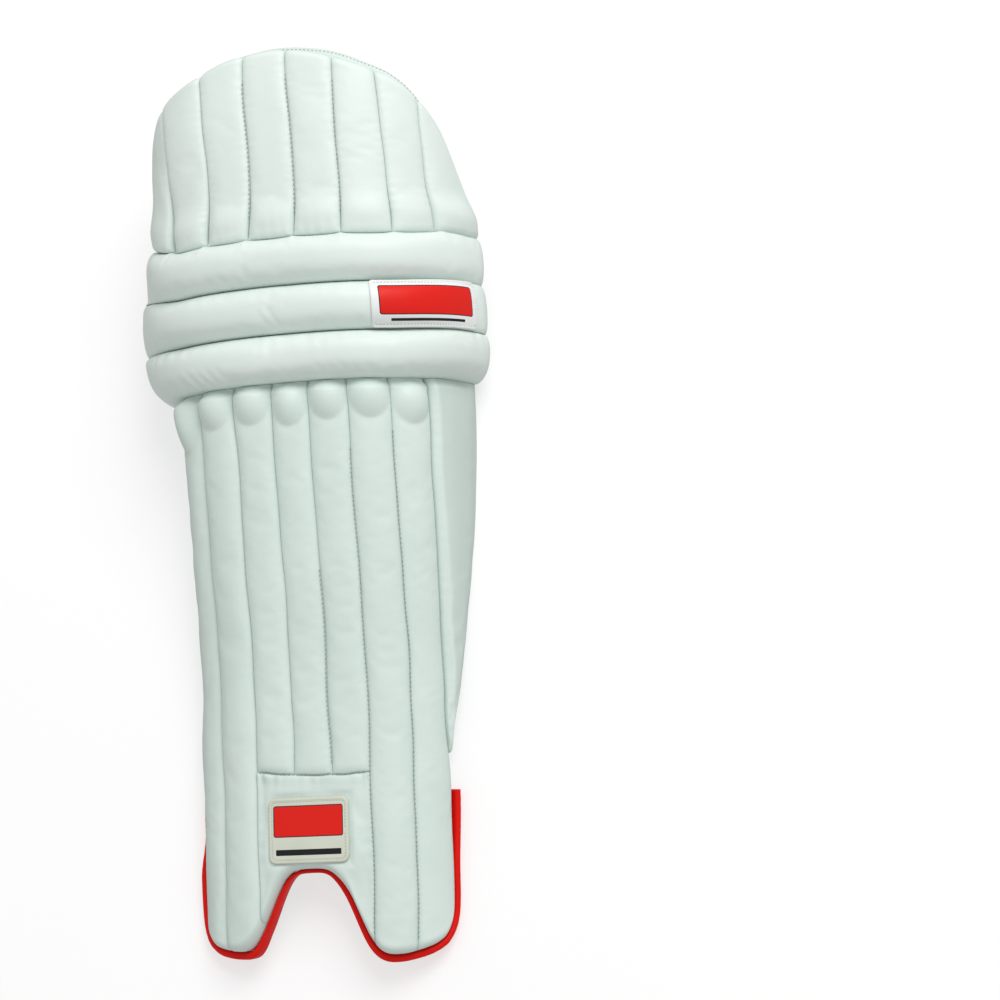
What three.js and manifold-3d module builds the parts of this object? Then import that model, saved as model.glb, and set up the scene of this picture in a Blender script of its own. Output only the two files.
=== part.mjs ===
// Batting pad: a padded guard for shin, knee and lower thigh, lying on its hollow side with its face up.
// Millimetres, +Z up, +Y towards the thigh end, +X to the right of someone who faces the pad.
// Every piece is drawn on one unrolled skin and then bent round the leg:
//   s  distance across the skin from its centre line, positive to the right
//   v  height along the pad from the lowest point of the foot lobes
//   n  height above the skin, which is the flat of the shin canes
import * as THREE from "three";
import { mergeVertices } from "three/addons/utils/BufferGeometryUtils.js";
import Module from "manifold-3d";

// Clearances and thicknesses
const GAP = 0.3;
const BACKING_GAP = 0.9;
const BACKING_THICKNESS = 6;
const BACKING_COLUMNS = 26;
const BACKING_ROWS = 28;
const LABEL_THICKNESS = 1.2;
const LABEL_GAP = 0.7;
const STRAP_THICKNESS = 2.4;
const STRAP_GAP = 2;
const SOFT_GAP = 0.6;
const WING_GAP = 1;

// How the pad lies: it is pitched until foot lobes and wings touch, and the soft edges flatten there
const REST_PITCH = 9.2;
const FLOOR_FLAT = 3;
const FLOOR_BLOCK = 2000;

// How far the skin has turned away from the front at each distance across, in degrees
const BEND = [
  { s: 0, turn: 0 },
  { s: 16, turn: 1 },
  { s: 49, turn: 12 },
  { s: 81, turn: 32 },
  { s: 114, turn: 56 },
  { s: 168, turn: 74 },
  { s: 200, turn: 80 },
];

// The left side: its foot is flatter, then its wing hangs more steeply, up to the knee
const FLAT_BEND = [
  ...BEND.slice(0, 3),
  { s: 81, turn: 31 },
  { s: 114, turn: 45 },
  { s: 168, turn: 56 },
  { s: 200, turn: 60 },
];
const STEEP_BEND = [
  ...BEND.slice(0, 5),
  { s: 122, turn: 76 },
  { s: 140, turn: 83 },
  { s: 168, turn: 88 },
  { s: 200, turn: 92 },
];
const STEEP = { from: 150, full: 205, fadeFrom: 410, fadeTo: 475 };

// Girth of the bend and height of its crown along the pad
const LEVELS = [
  { v: -10, girth: 0.95, crown: 12.5 },
  { v: 70, girth: 0.95, crown: 6 },
  { v: 170, girth: 0.965, crown: -5 },
  { v: 230, girth: 0.97, crown: -7 },
  { v: 330, girth: 0.98, crown: -3 },
  { v: 425, girth: 1.0, crown: 1 },
  { v: 470, girth: 1.09, crown: 3 },
  { v: 549, girth: 1.09, crown: 8 },
  { v: 620, girth: 1.1, crown: 10 },
  { v: 700, girth: 1.12, crown: 5 },
];

// Padding between the skin and the backing sheet
const PADDING = [
  { s: 0, depth: 18 },
  { s: 70, depth: 18 },
  { s: 114, depth: 8 },
  { s: 220, depth: 8 },
];

// Foot edge: the arch over the boot, the two lobes beside it and their outer corners
const FOOT = [
  { s: -115, v: 66 },
  { s: -113, v: 46 },
  { s: -109, v: 30 },
  { s: -102, v: 19 },
  { s: -92, v: 12.5 },
  { s: -81, v: 9.7 },
  { s: -69.5, v: 9.5 },
  { s: -59.5, v: 13 },
  { s: -50.3, v: 23.7 },
  { s: -41.6, v: 38.9 },
  { s: -33.5, v: 54.1 },
  { s: -24.9, v: 66 },
  { s: -18.5, v: 70 },
  { s: -8, v: 70.9 },
  { s: 2, v: 70.9 },
  { s: 11, v: 69.5 },
  { s: 18, v: 64 },
  { s: 27, v: 52 },
  { s: 34.5, v: 35.5 },
  { s: 43, v: 16.5 },
  { s: 50, v: 8.2 },
  { s: 58, v: 5.2 },
  { s: 70, v: 5 },
  { s: 82, v: 6.8 },
  { s: 92, v: 9.2 },
  { s: 102, v: 14.5 },
  { s: 108, v: 22 },
  { s: 112, v: 32 },
  { s: 114, v: 46 },
  { s: 115, v: 66 },
];

// Side edges of the pad: ankle, wing, knee and the foot of the thigh piece
const SIDES = [
  { v: 66, left: -115, right: 115 },
  { v: 114, left: -117.5, right: 117.5 },
  { v: 156, left: -116.5, right: 116.5 },
  { v: 204, left: -127, right: 127 },
  { v: 250, left: -139.5, right: 139.5 },
  { v: 296, left: -154, right: 154 },
  { v: 342, left: -167, right: 167 },
  { v: 389, left: -176, right: 176 },
  { v: 416, left: -178, right: 178 },
  { v: 434, left: -178, right: 178 },
  { v: 460, left: -166, right: 177 },
  { v: 500, left: -155, right: 178 },
  { v: 540, left: -147.5, right: 182 },
  { v: 556, left: -144, right: 185 },
];

// Top edge of the thigh piece, higher on the inner side of the knee
const TOP = [
  { s: -144, v: 556 },
  { s: -143, v: 577 },
  { s: -139, v: 602 },
  { s: -133, v: 624 },
  { s: -123, v: 644 },
  { s: -100, v: 663 },
  { s: -61, v: 681 },
  { s: -25, v: 692 },
  { s: 4, v: 695 },
  { s: 40, v: 691 },
  { s: 87, v: 676 },
  { s: 117, v: 659 },
  { s: 140, v: 637 },
  { s: 160, v: 604 },
  { s: 176, v: 574 },
  { s: 185, v: 556 },
];

// Shin canes: seams across the pad, rounding of their edges, and the knuckle at the top of each
const SHIN_SEAMS = [-115, -82.5, -46, -14, 15.5, 46.5, 80.5, 115];
const CANE_EDGE = -5;
const CANE_SQUARENESS = 5;
const CANE_END = 14;
const FOOT_EDGE = { level: -11, aboveBacking: 3 };
const KNUCKLE = { v: 421, half: 20, rise: 7 };
const FIRST_SHORT_CANE = 3;
const LAST_SHORT_CANE = 5;
const CANE_COLUMNS = [0, 0.1, 0.37, 0.63, 0.9, 1];
const ANKLE_ROWS = [-1, -0.97, -0.9, -0.7, -0.45, -0.2];
const SHIN_ROWS = [0, 0.05, 0.16, 0.32, 0.5, 0.68, 0.84, 0.89, 0.93, 0.965, 1];

// Instep panel over the arch
const INSTEP = { top: 143, flat: -2, edge: -5, end: 14, squareness: 8 };
const INSTEP_COLUMNS = 16;
const INSTEP_ROWS = [0, 0.04, 0.14, 0.5, 0.9, 1];

// Wings
const WING = {
  low: 162,
  end: 14,
  edge: -4.5,
  leftFlat: -3,
  squareness: 4,
  strip: 11,
  ridge: 5,
  fall: 22,
  fadeIn: 60,
};
const WING_COLUMNS = [0, 0.09, 0.175, 0.35, 0.6, 0.88, 1];
const WING_ROWS = [0, 0.012, 0.05, 0.1, 0.18, 0.27, 0.36, 0.45, 0.54, 0.63, 0.72, 0.81, 0.9, 1];

// Knee rolls, which droop at their ends; the upper one thins towards its left end
const KNEE_ROLLS = [
  { name: "lower", low: 438, high: 474, left: -177, right: 181, leftRise: 15 },
  { name: "middle", low: 474, high: 510.5, left: -164, right: 180, leftRise: 13 },
  { name: "upper", low: 510.5, high: 547, left: -151, right: 182, leftRise: 5 },
];
const ROLL = {
  edge: -4,
  sideEdge: 2,
  rise: 13,
  sideFrom: 80,
  sideTo: 150,
  squareness: 2.3,
  end: 18,
  endHeight: 0.85,
  endFlat: 2.5,
  droop: 4,
  droopAt: 120,
  leftLift: 8,
};
const ROLL_COLUMNS = 26;
const ROLL_ROWS = 6;

// Thigh rolls: seams at their lower and upper ends
const THIGH_SEAMS = [
  { low: -142, high: -142 },
  { low: -95, high: -98.5 },
  { low: -57.5, high: -55.5 },
  { low: -22, high: -18.5 },
  { low: 15, high: 16 },
  { low: 52.5, high: 52.5 },
  { low: 92.5, high: 86 },
  { low: 131.5, high: 122 },
  { low: 183, high: 183 },
];
const THIGH = {
  edge: -6,
  squareness: 3,
  rim: 4,
  rimSink: 0.5,
  lowEnd: 11,
  topEnd: 26,
  puff: 2.5,
  puffAt: 16,
  puffHalf: 11,
};
const THIGH_COLUMNS = 5;
const THIGH_ROWS = [0, 0.035, 0.1, 0.3, 0.62, 0.85, 0.96, 1];

// Foot binding
const BINDING = {
  width: 6.8,
  archWidth: 4.2,
  archHalf: 15,
  thickness: 10,
  bevel: 2.4,
  sideRise: 3.5,
  sideFrom: 95,
  sideTo: 112,
  top: 120,
  sink: 1.5,
  lap: 2.5,
  steps: 66,
};

// Labels
const INSTEP_LABEL = { s: -3, v: 100.5, width: 64, height: 49, radius: 6 };
const KNEE_LABEL = { s: 112, width: 84, radius: 4, flatFrom: 0.2 };
const LABEL_COLUMNS = 8;
const LABEL_ROWS = [0, 0.04, 0.15, 0.5, 0.85, 0.96, 1];

// Calf strap, sewn to the inside of both wings
const STRAP = { v: 353, width: 36, sewnFrom: 112, sewnTo: 136, turn: 9, steps: 8 };

// Finishes
const WHITE_LEATHER = { color: 0xdde8e2, roughness: 0.5 };
const WHITE_LINING = { color: 0xd6dbd4, roughness: 0.8 };
const RED_BINDING = { color: 0xcc1a12, roughness: 0.35 };
const CREAM_PATCH = { color: 0xe6e6d2, roughness: 0.6 };
const BLACK_WEBBING = { color: 0x1c1d1f, roughness: 0.85 };

// Smooth curve through one column of a table, without overshoot between its rows
function curve(rows, key, value) {
  const x = rows.map((row) => row[key]);
  const y = rows.map((row) => row[value]);
  const last = x.length - 1;
  const slope = x.slice(1).map((end, i) => (y[i + 1] - y[i]) / (end - x[i]));
  const tangent = x.map((_, i) => {
    const before = slope[Math.max(i - 1, 0)];
    const after = slope[Math.min(i, last - 1)];
    return before * after <= 0 ? 0 : (2 * before * after) / (before + after);
  });
  return (at) => {
    const inside = THREE.MathUtils.clamp(at, x[0], x[last]);
    const past = x.findIndex((end) => end > inside);
    const k = past < 0 ? last - 1 : past - 1;
    const step = x[k + 1] - x[k];
    const t = (inside - x[k]) / step;
    const rise = t * t * (3 - 2 * t);
    const bow = t * (1 - t) * step * (tangent[k] * (1 - t) - tangent[k + 1] * t);
    return y[k] + (y[k + 1] - y[k]) * rise + bow;
  };
}

const girthAt = curve(LEVELS, "v", "girth");
const crownAt = curve(LEVELS, "v", "crown");
const depthAt = curve(PADDING, "s", "depth");
const foot = curve(FOOT, "s", "v");
const leftAt = curve(SIDES, "v", "left");
const rightAt = curve(SIDES, "v", "right");
const topAt = curve(TOP, "s", "v");

const lerp = THREE.MathUtils.lerp;
const smoothstep = THREE.MathUtils.smoothstep;
const depth = (s) => depthAt(Math.abs(s));

// The knee lines hang lower towards the sides, less so at the left end
function droop(s) {
  const leftLift = ROLL.leftLift * smoothstep(-s, ROLL.sideFrom, ROLL.sideTo);
  return ROLL.droop * (s / ROLL.droopAt) ** 2 - leftLift;
}

// A bend: at a distance across, its angle and how far out and back the skin has gone, from running sums
const BEND_LIMIT = 260;
function bendOf(rows) {
  const turnAt = curve(rows, "s", "turn");
  const out = [0];
  const back = [0];
  for (let s = 0; s < BEND_LIMIT; s += 1) {
    const angle = THREE.MathUtils.degToRad(turnAt(s + 0.5));
    out.push(out[s] + Math.cos(angle));
    back.push(back[s] + Math.sin(angle));
  }
  return (at) => {
    const i = Math.min(Math.floor(at), BEND_LIMIT - 1);
    const angle = THREE.MathUtils.degToRad(turnAt(at));
    return { angle, out: lerp(out[i], out[i + 1], at - i), back: lerp(back[i], back[i + 1], at - i) };
  };
}

const plainBend = bendOf(BEND);
const flatBend = bendOf(FLAT_BEND);
const steepBend = bendOf(STEEP_BEND);

function blendBends(first, second, share) {
  return {
    angle: lerp(first.angle, second.angle, share),
    out: lerp(first.out, second.out, share),
    back: lerp(first.back, second.back, share),
  };
}

// The bend at a distance across: plain on the right, and on the left flat, steep and plain in turn
function bendAt(s, v, along) {
  const plain = plainBend(along);
  if (s >= 0) return plain;
  const lower = blendBends(flatBend(along), steepBend(along), smoothstep(v, STEEP.from, STEEP.full));
  return blendBends(lower, plain, smoothstep(v, STEEP.fadeFrom, STEEP.fadeTo));
}

// Point of the bent pad for a point of the unrolled one
function place(s, v, n) {
  const girth = girthAt(v);
  const { angle, out, back } = bendAt(s, v, Math.abs(s) / girth);
  const x = girth * out + n * Math.sin(angle);
  const z = crownAt(v) - girth * back + n * Math.cos(angle);
  return new THREE.Vector3(s < 0 ? -x : x, v, z);
}

// Steps from 0 to 1: even ones, and ones that crowd towards both ends
const evenSteps = (count) => Array.from({ length: count + 1 }, (_, i) => i / count);
const endSteps = (count) => evenSteps(count).map((t) => (1 - Math.cos(Math.PI * t)) / 2);

// Pillow profile: 0 at both edges and 1 in the middle, flatter with a higher squareness
const pillow = (t, squareness) => (1 - Math.abs(2 * t - 1) ** squareness) ** (1 / squareness);

// Rounded shoulder: climbs from 0 to 1 over one length and stays there
function shoulder(distance, length) {
  const t = THREE.MathUtils.clamp(distance / length, 0, 1);
  return Math.sqrt(1 - (1 - t) ** 2);
}

function indexedGeometry(points, triangles) {
  const geometry = new THREE.BufferGeometry();
  geometry.setAttribute("position", new THREE.Float32BufferAttribute(points, 3));
  geometry.setIndex(triangles);
  return geometry;
}

// Closed solid between a front and a back sheet that share one grid of parameters
function sheetSolid(columns, rows, front, back) {
  const points = [];
  for (const sheet of [front, back]) {
    for (const b of rows) {
      for (const a of columns) points.push(...sheet(a, b).toArray());
    }
  }
  const wide = columns.length;
  const tall = rows.length;
  const behind = wide * tall;
  const at = (i, j) => j * wide + i;
  const triangles = [];
  for (let j = 0; j < tall - 1; j += 1) {
    for (let i = 0; i < wide - 1; i += 1) {
      const corners = [at(i, j), at(i + 1, j), at(i + 1, j + 1), at(i, j + 1)];
      const [p, q, r, t] = corners;
      triangles.push(p, q, r, p, r, t);
      const [bp, bq, br, bt] = corners.map((corner) => corner + behind);
      triangles.push(bp, br, bq, bp, bt, br);
    }
  }
  const rim = [];
  for (let i = 0; i < wide - 1; i += 1) rim.push(at(i, 0));
  for (let j = 0; j < tall - 1; j += 1) rim.push(at(wide - 1, j));
  for (let i = wide - 1; i > 0; i -= 1) rim.push(at(i, tall - 1));
  for (let j = tall - 1; j > 0; j -= 1) rim.push(at(0, j));
  rim.forEach((p, i) => {
    const q = rim[(i + 1) % rim.length];
    triangles.push(q, p, p + behind, q, p + behind, q + behind);
  });
  return indexedGeometry(points, triangles);
}

// Padded piece: unroll(a, b) gives its place on the skin and rise(s, v, a, b) its front. Its back lies on the
// padding's depth, or a little above it by lift.
function paddedPiece(columns, rows, unroll, rise, lift = 0) {
  const front = (a, b) => {
    const [s, v] = unroll(a, b);
    return place(s, v, rise(s, v, a, b));
  };
  const back = (a, b) => {
    const [s, v] = unroll(a, b);
    return place(s, v, lift - depth(s));
  };
  return sheetSolid(columns, rows, front, back);
}

// Level of the face at the foot edge, where it rounds down towards the binding
const footLevel = (s) => Math.max(FOOT_EDGE.level, FOOT_EDGE.aboveBacking - depth(s));

const kneeLow = (s) => KNEE_ROLLS[0].low - droop(s);
const kneeHigh = (s) => KNEE_ROLLS.at(-1).high - droop(s);

function shinCane(number) {
  const left = SHIN_SEAMS[number - 1] + GAP / 2;
  const right = SHIN_SEAMS[number] - GAP / 2;
  const short = number >= FIRST_SHORT_CANE && number <= LAST_SHORT_CANE;
  const low = (s) => (short ? INSTEP.top + GAP / 2 : foot(s));
  const unroll = (a, b) => {
    const s = lerp(left, right, a);
    const start = INSTEP.top + GAP / 2;
    return [s, b < 0 ? lerp(start, low(s), -b) : lerp(start, kneeLow(s) - GAP, b)];
  };
  const rise = (s, v, a) => {
    const face = CANE_EDGE * (1 - pillow(a, CANE_SQUARENESS));
    const end = short ? CANE_EDGE : Math.min(footLevel(s), CANE_EDGE);
    const away = (v + droop(s) - KNUCKLE.v) / KNUCKLE.half;
    const knuckle = KNUCKLE.rise * pillow(a, 2) * Math.max(1 - away * away, 0);
    return lerp(end, face, shoulder(v - low(s), CANE_END)) + knuckle;
  };
  return paddedPiece(CANE_COLUMNS, short ? SHIN_ROWS : [...ANKLE_ROWS, ...SHIN_ROWS], unroll, rise);
}

function instepPanel() {
  const left = SHIN_SEAMS[FIRST_SHORT_CANE - 1] + GAP / 2;
  const right = SHIN_SEAMS[LAST_SHORT_CANE] - GAP / 2;
  const unroll = (a, b) => {
    const s = lerp(left, right, a);
    return [s, lerp(foot(s), INSTEP.top - GAP / 2, b)];
  };
  const rise = (s, v, a, b) => {
    const sides = pillow(a, INSTEP.squareness) * pillow((1 + b) / 2, INSTEP.squareness);
    const face = lerp(INSTEP.edge, INSTEP.flat, sides);
    return lerp(footLevel(s), face, shoulder(v - foot(s), INSTEP.end));
  };
  return paddedPiece(evenSteps(INSTEP_COLUMNS), INSTEP_ROWS, unroll, rise);
}

function wing(side) {
  const inner = SHIN_SEAMS.at(-1) + GAP;
  const edge = (v) => (side > 0 ? rightAt(v) : -leftAt(v)) - GAP;
  const unroll = (a, b) => {
    const s = lerp(inner, edge(lerp(WING.low, kneeLow(inner), b)), a);
    return [side * s, lerp(WING.low, kneeLow(side * s) - GAP, b)];
  };
  // The right wing has a raised strip beside the seam, from which it folds back; the left one lies lower
  const flat = side > 0 ? 0 : WING.leftFlat;
  const ridgeHeight = side > 0 ? WING.ridge : 0;
  const rise = (s, v, a, b) => {
    const out = Math.abs(s) - inner;
    const toCrest = out / WING.strip;
    const fromCrest = 1 - (out - WING.strip) / WING.fall;
    const fade = smoothstep(v, WING.low, WING.low + WING.fadeIn);
    const ridge = ridgeHeight * Math.max(Math.min(toCrest, fromCrest), 0) * fade;
    const toEdge = edge(lerp(WING.low, kneeLow(inner), b)) - Math.abs(s);
    const rim = smoothstep(toEdge, 0, WING.strip);
    const face = lerp(WING.edge, flat, pillow(a, WING.squareness)) + ridge * rim;
    return lerp(2 * WING_GAP - depth(s), face, shoulder(v - WING.low, WING.end));
  };
  const columns = side > 0 ? WING_COLUMNS : WING_COLUMNS.map((a) => 1 - a).reverse();
  const across = side > 0 ? unroll : (a, b) => unroll(1 - a, b);
  return paddedPiece(columns, WING_ROWS, across, rise, WING_GAP);
}

// Front of a knee roll over the skin: a half-round pillow, shallower at the sides, whose ends are closed by a
// quarter round
function rollFront(roll, s, b) {
  const end = shoulder(Math.min(s - roll.left, roll.right - s), ROLL.end);
  const edge = lerp(ROLL.edge, ROLL.sideEdge, smoothstep(Math.abs(s), ROLL.sideFrom, ROLL.sideTo));
  const rise = lerp(ROLL.rise, roll.leftRise, smoothstep(-s, ROLL.sideFrom, ROLL.sideTo));
  const top = lerp(edge, rise, pillow(b, ROLL.squareness));
  return lerp(ROLL.endFlat - depth(s), top, end);
}

function rollHeight(roll, s, b) {
  const end = shoulder(Math.min(s - roll.left, roll.right - s), ROLL.end);
  const middle = (roll.low + roll.high) / 2;
  const half = (roll.high - roll.low - GAP) / 2;
  return middle + half * (2 * b - 1) * lerp(ROLL.endHeight, 1, end) - droop(s);
}

function kneeRoll(roll) {
  const unroll = (a, b) => {
    const s = lerp(roll.left, roll.right, a);
    return [s, rollHeight(roll, s, b)];
  };
  const rise = (s, v, a, b) => rollFront(roll, s, b);
  const even = evenSteps(ROLL_COLUMNS);
  const columns = endSteps(ROLL_COLUMNS).map((crowded, i) => (even[i] + crowded) / 2);
  return paddedPiece(columns, endSteps(ROLL_ROWS), unroll, rise, SOFT_GAP);
}

function thighRoll(number) {
  const left = THIGH_SEAMS[number - 1];
  const right = THIGH_SEAMS[number];
  const low = (s) => kneeHigh(s) + GAP;
  const high = (s) => topAt(s) - THIGH.rim;
  const unroll = (a, b) => {
    const from = lerp(left.low, left.high, b) + GAP / 2;
    const to = lerp(right.low, right.high, b) - GAP / 2;
    const s = lerp(from, to, a);
    return [s, lerp(low(s), high(s), b)];
  };
  const rise = (s, v, a) => {
    const topEnd = shoulder(high(s) - v, THIGH.topEnd);
    const lowEnd = shoulder(v - low(s), THIGH.lowEnd);
    const rim = -THIGH.rimSink * depth(s);
    const edge = lerp(rim, Math.max(THIGH.edge, rim), topEnd);
    const puff = THIGH.puff * Math.exp(-(((v - low(s) - THIGH.puffAt) / THIGH.puffHalf) ** 2));
    return edge + (puff - edge) * pillow(a, THIGH.squareness) * topEnd * lowEnd;
  };
  return paddedPiece(endSteps(THIGH_COLUMNS), THIGH_ROWS, unroll, rise);
}

// Points evenly spaced along a curve of the unrolled pad
const EDGE_SAMPLES = 500;
function spacedAlong(curvePoint) {
  const points = evenSteps(EDGE_SAMPLES).map(curvePoint);
  const path = new THREE.CurvePath();
  for (let i = 0; i < EDGE_SAMPLES; i += 1) path.add(new THREE.LineCurve(points[i], points[i + 1]));
  return (t) => path.getPoint(t);
}

// Backing sheet: blended from its four edges on the unrolled pad
function backing() {
  const corner = FOOT.at(-1);
  const footEdge = spacedAlong((t) => {
    const s = lerp(-corner.s, corner.s, t);
    return new THREE.Vector2(s, foot(s) + BINDING.lap);
  });
  const topEdge = spacedAlong((t) => {
    const s = lerp(TOP[0].s, TOP.at(-1).s, t);
    return new THREE.Vector2(s, topAt(s));
  });
  const heights = (t) => lerp(SIDES[0].v + BINDING.lap, SIDES.at(-1).v, t);
  const leftEdge = (t) => new THREE.Vector2(leftAt(heights(t)), heights(t));
  const rightEdge = (t) => new THREE.Vector2(rightAt(heights(t)), heights(t));
  const unroll = (a, b) => {
    const across = footEdge(a).lerp(topEdge(a), b);
    const along = leftEdge(b).lerp(rightEdge(b), a);
    const lowCorners = footEdge(0).lerp(footEdge(1), a);
    const highCorners = topEdge(0).lerp(topEdge(1), a);
    return across.add(along).sub(lowCorners.lerp(highCorners, b));
  };
  const sheet = (sunk) => (a, b) => {
    const { x: s, y: v } = unroll(a, b);
    return place(s, v, -depth(s) - BACKING_GAP - sunk);
  };
  const columns = evenSteps(BACKING_COLUMNS);
  return sheetSolid(columns, evenSteps(BACKING_ROWS), sheet(0), sheet(BACKING_THICKNESS));
}

// Band carried along a path: section(i) lists the corners of its cross-section at each step of the path
function bandSolid(sections) {
  const corners = sections[0].length;
  const points = sections.flat().flatMap((point) => point.toArray());
  const triangles = [];
  for (let i = 0; i < sections.length - 1; i += 1) {
    for (let k = 0; k < corners; k += 1) {
      const next = (k + 1) % corners;
      const p = i * corners + k;
      const q = i * corners + next;
      triangles.push(p, q, p + corners, q, q + corners, p + corners);
    }
  }
  const end = (sections.length - 1) * corners;
  for (let k = 1; k < corners - 1; k += 1) {
    triangles.push(0, k + 1, k);
    triangles.push(end, end + k, end + k + 1);
  }
  return indexedGeometry(points, triangles);
}

// Foot binding: a flat rounded band outside the foot edge, from one ankle round the lobes to the other
function footBinding() {
  const corner = FOOT.at(-1);
  const edgePoint = (t) => {
    const reach = corner.s + BINDING.top - corner.v;
    const along = lerp(-reach, reach, t);
    const past = Math.abs(along) - corner.s;
    const v = past > 0 ? corner.v + past : foot(along);
    const s = past > 0 ? Math.sign(along) * rightAt(v) : along;
    return new THREE.Vector2(s, v);
  };
  const edge = spacedAlong(edgePoint);
  const slip = 0.5 / BINDING.steps;
  const sections = evenSteps(BINDING.steps).map((t) => {
    const { x: s, y: v } = edge(t);
    const way = edge(Math.min(t + slip, 1)).sub(edge(Math.max(t - slip, 0))).normalize();
    const narrow = Math.exp(-((s / BINDING.archHalf) ** 2));
    const width = lerp(BINDING.width, BINDING.archWidth, narrow);
    const half = BINDING.thickness / 2;
    const upper = half + BINDING.sideRise * smoothstep(Math.abs(s), BINDING.sideFrom, BINDING.sideTo);
    const profile = [
      [2 * GAP, -half],
      [2 * GAP, upper],
      [width - BINDING.bevel, upper],
      [width, upper - BINDING.bevel],
      [width, BINDING.bevel - half],
      [width - BINDING.bevel, -half],
    ];
    const middle = -depth(s) - BINDING.sink;
    return profile.map(([out, up]) => place(s + way.y * out, v - way.x * out, middle + up));
  });
  return bandSolid(sections);
}

// Sewn patch with rounded corners: height(s, b) gives its rows, under(s, b) the surface that it lies on
function patch(label, height, under) {
  const half = label.width / 2;
  const spread = (a, b) => {
    const inset = Math.max(label.radius - (label.height / 2) * (1 - Math.abs(2 * b - 1)), 0);
    const cut = label.radius - Math.sqrt(label.radius ** 2 - inset ** 2);
    return label.s + (half - cut) * (2 * a - 1);
  };
  const sheet = (lift) => (a, b) => {
    const s = spread(a, b);
    return place(s, height(s, b), under(s, b) + lift);
  };
  const columns = evenSteps(LABEL_COLUMNS);
  return sheetSolid(columns, LABEL_ROWS, sheet(LABEL_GAP + LABEL_THICKNESS), sheet(LABEL_GAP));
}

function instepLabel() {
  const label = INSTEP_LABEL;
  const height = (s, b) => label.v + label.height * (b - 0.5);
  return patch(label, height, () => INSTEP.flat);
}

// The knee label is stiff: it follows the middle of its roll and bridges the grooves beside it
function kneeLabel() {
  const roll = KNEE_ROLLS[1];
  const label = { ...KNEE_LABEL, height: roll.high - roll.low };
  const height = (s, b) => rollHeight(roll, s, b);
  const flatShare = (b) => THREE.MathUtils.clamp(b, label.flatFrom, 1 - label.flatFrom);
  const under = (s, b) => rollFront(roll, s, flatShare(b));
  return patch(label, height, under);
}

// Calf strap: down the inside of one wing, across the hollow and up the inside of the other
function calfStrap() {
  const half = STRAP_THICKNESS / 2;
  const inside = (s) => -depth(s) - BACKING_GAP - BACKING_THICKNESS - STRAP_GAP - half;
  const bow = STRAP.turn * (1 - Math.SQRT1_2);
  const halfRoute = (side) => {
    const sewn = evenSteps(3).map((t) => {
      const s = side * lerp(STRAP.sewnFrom, STRAP.sewnTo, t);
      const { x, z } = place(s, STRAP.v, inside(s));
      return new THREE.Vector2(x, z);
    });
    const last = sewn.at(-1);
    const turned = new THREE.Vector2(last.x - side * bow, last.y - STRAP.turn + bow);
    const level = new THREE.Vector2(last.x - side * STRAP.turn, last.y - STRAP.turn);
    return [...sewn, turned, level];
  };
  const right = halfRoute(1);
  const left = halfRoute(-1).reverse();
  const across = evenSteps(STRAP.steps).slice(1, -1).map((t) => right.at(-1).clone().lerp(left[0], t));
  const route = [...right, ...across, ...left];
  const sections = route.map((point, i) => {
    const before = route[Math.max(i - 1, 0)];
    const after = route[Math.min(i + 1, route.length - 1)];
    const way = after.clone().sub(before).normalize();
    const out = new THREE.Vector2(way.y, -way.x).multiplyScalar(half);
    const low = STRAP.v - STRAP.width / 2;
    const high = STRAP.v + STRAP.width / 2;
    return [
      new THREE.Vector3(point.x + out.x, low, point.y + out.y),
      new THREE.Vector3(point.x + out.x, high, point.y + out.y),
      new THREE.Vector3(point.x - out.x, high, point.y - out.y),
      new THREE.Vector3(point.x - out.x, low, point.y - out.y),
    ];
  });
  return bandSolid(sections);
}

const wasm = await Module();
wasm.setup();

function toManifold(geometry) {
  const merged = mergeVertices(geometry);
  const vertProperties = new Float32Array(merged.attributes.position.array);
  const triVerts = new Uint32Array(merged.index.array);
  return new wasm.Manifold(new wasm.Mesh({ numProp: 3, vertProperties, triVerts }));
}

function fromManifold(manifold) {
  const mesh = manifold.getMesh();
  return indexedGeometry(Array.from(mesh.vertProperties), Array.from(mesh.triVerts));
}

const pad = new THREE.Group();
pad.rotation.x = THREE.MathUtils.degToRad(REST_PITCH);

function addPiece(name, geometry, finish) {
  const material = new THREE.MeshStandardMaterial({ ...finish, metalness: 0, flatShading: true });
  const mesh = new THREE.Mesh(geometry, material);
  mesh.name = name;
  pad.add(mesh);
}

addPiece("backing", backing(), WHITE_LINING);
for (let number = 1; number < SHIN_SEAMS.length; number += 1) {
  addPiece(`shin_cane_${number}`, shinCane(number), WHITE_LEATHER);
}
addPiece("instep_panel", instepPanel(), WHITE_LEATHER);
addPiece("wing_left", wing(-1), WHITE_LEATHER);
addPiece("wing_right", wing(1), WHITE_LEATHER);
for (const roll of KNEE_ROLLS) addPiece(`knee_roll_${roll.name}`, kneeRoll(roll), WHITE_LEATHER);
for (let number = 1; number < THIGH_SEAMS.length; number += 1) {
  addPiece(`top_roll_${number}`, thighRoll(number), WHITE_LEATHER);
}
addPiece("foot_binding", footBinding(), RED_BINDING);
addPiece("instep_label", instepLabel(), CREAM_PATCH);
addPiece("knee_label", kneeLabel(), WHITE_LEATHER);
addPiece("calf_strap", calfStrap(), BLACK_WEBBING);

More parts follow.
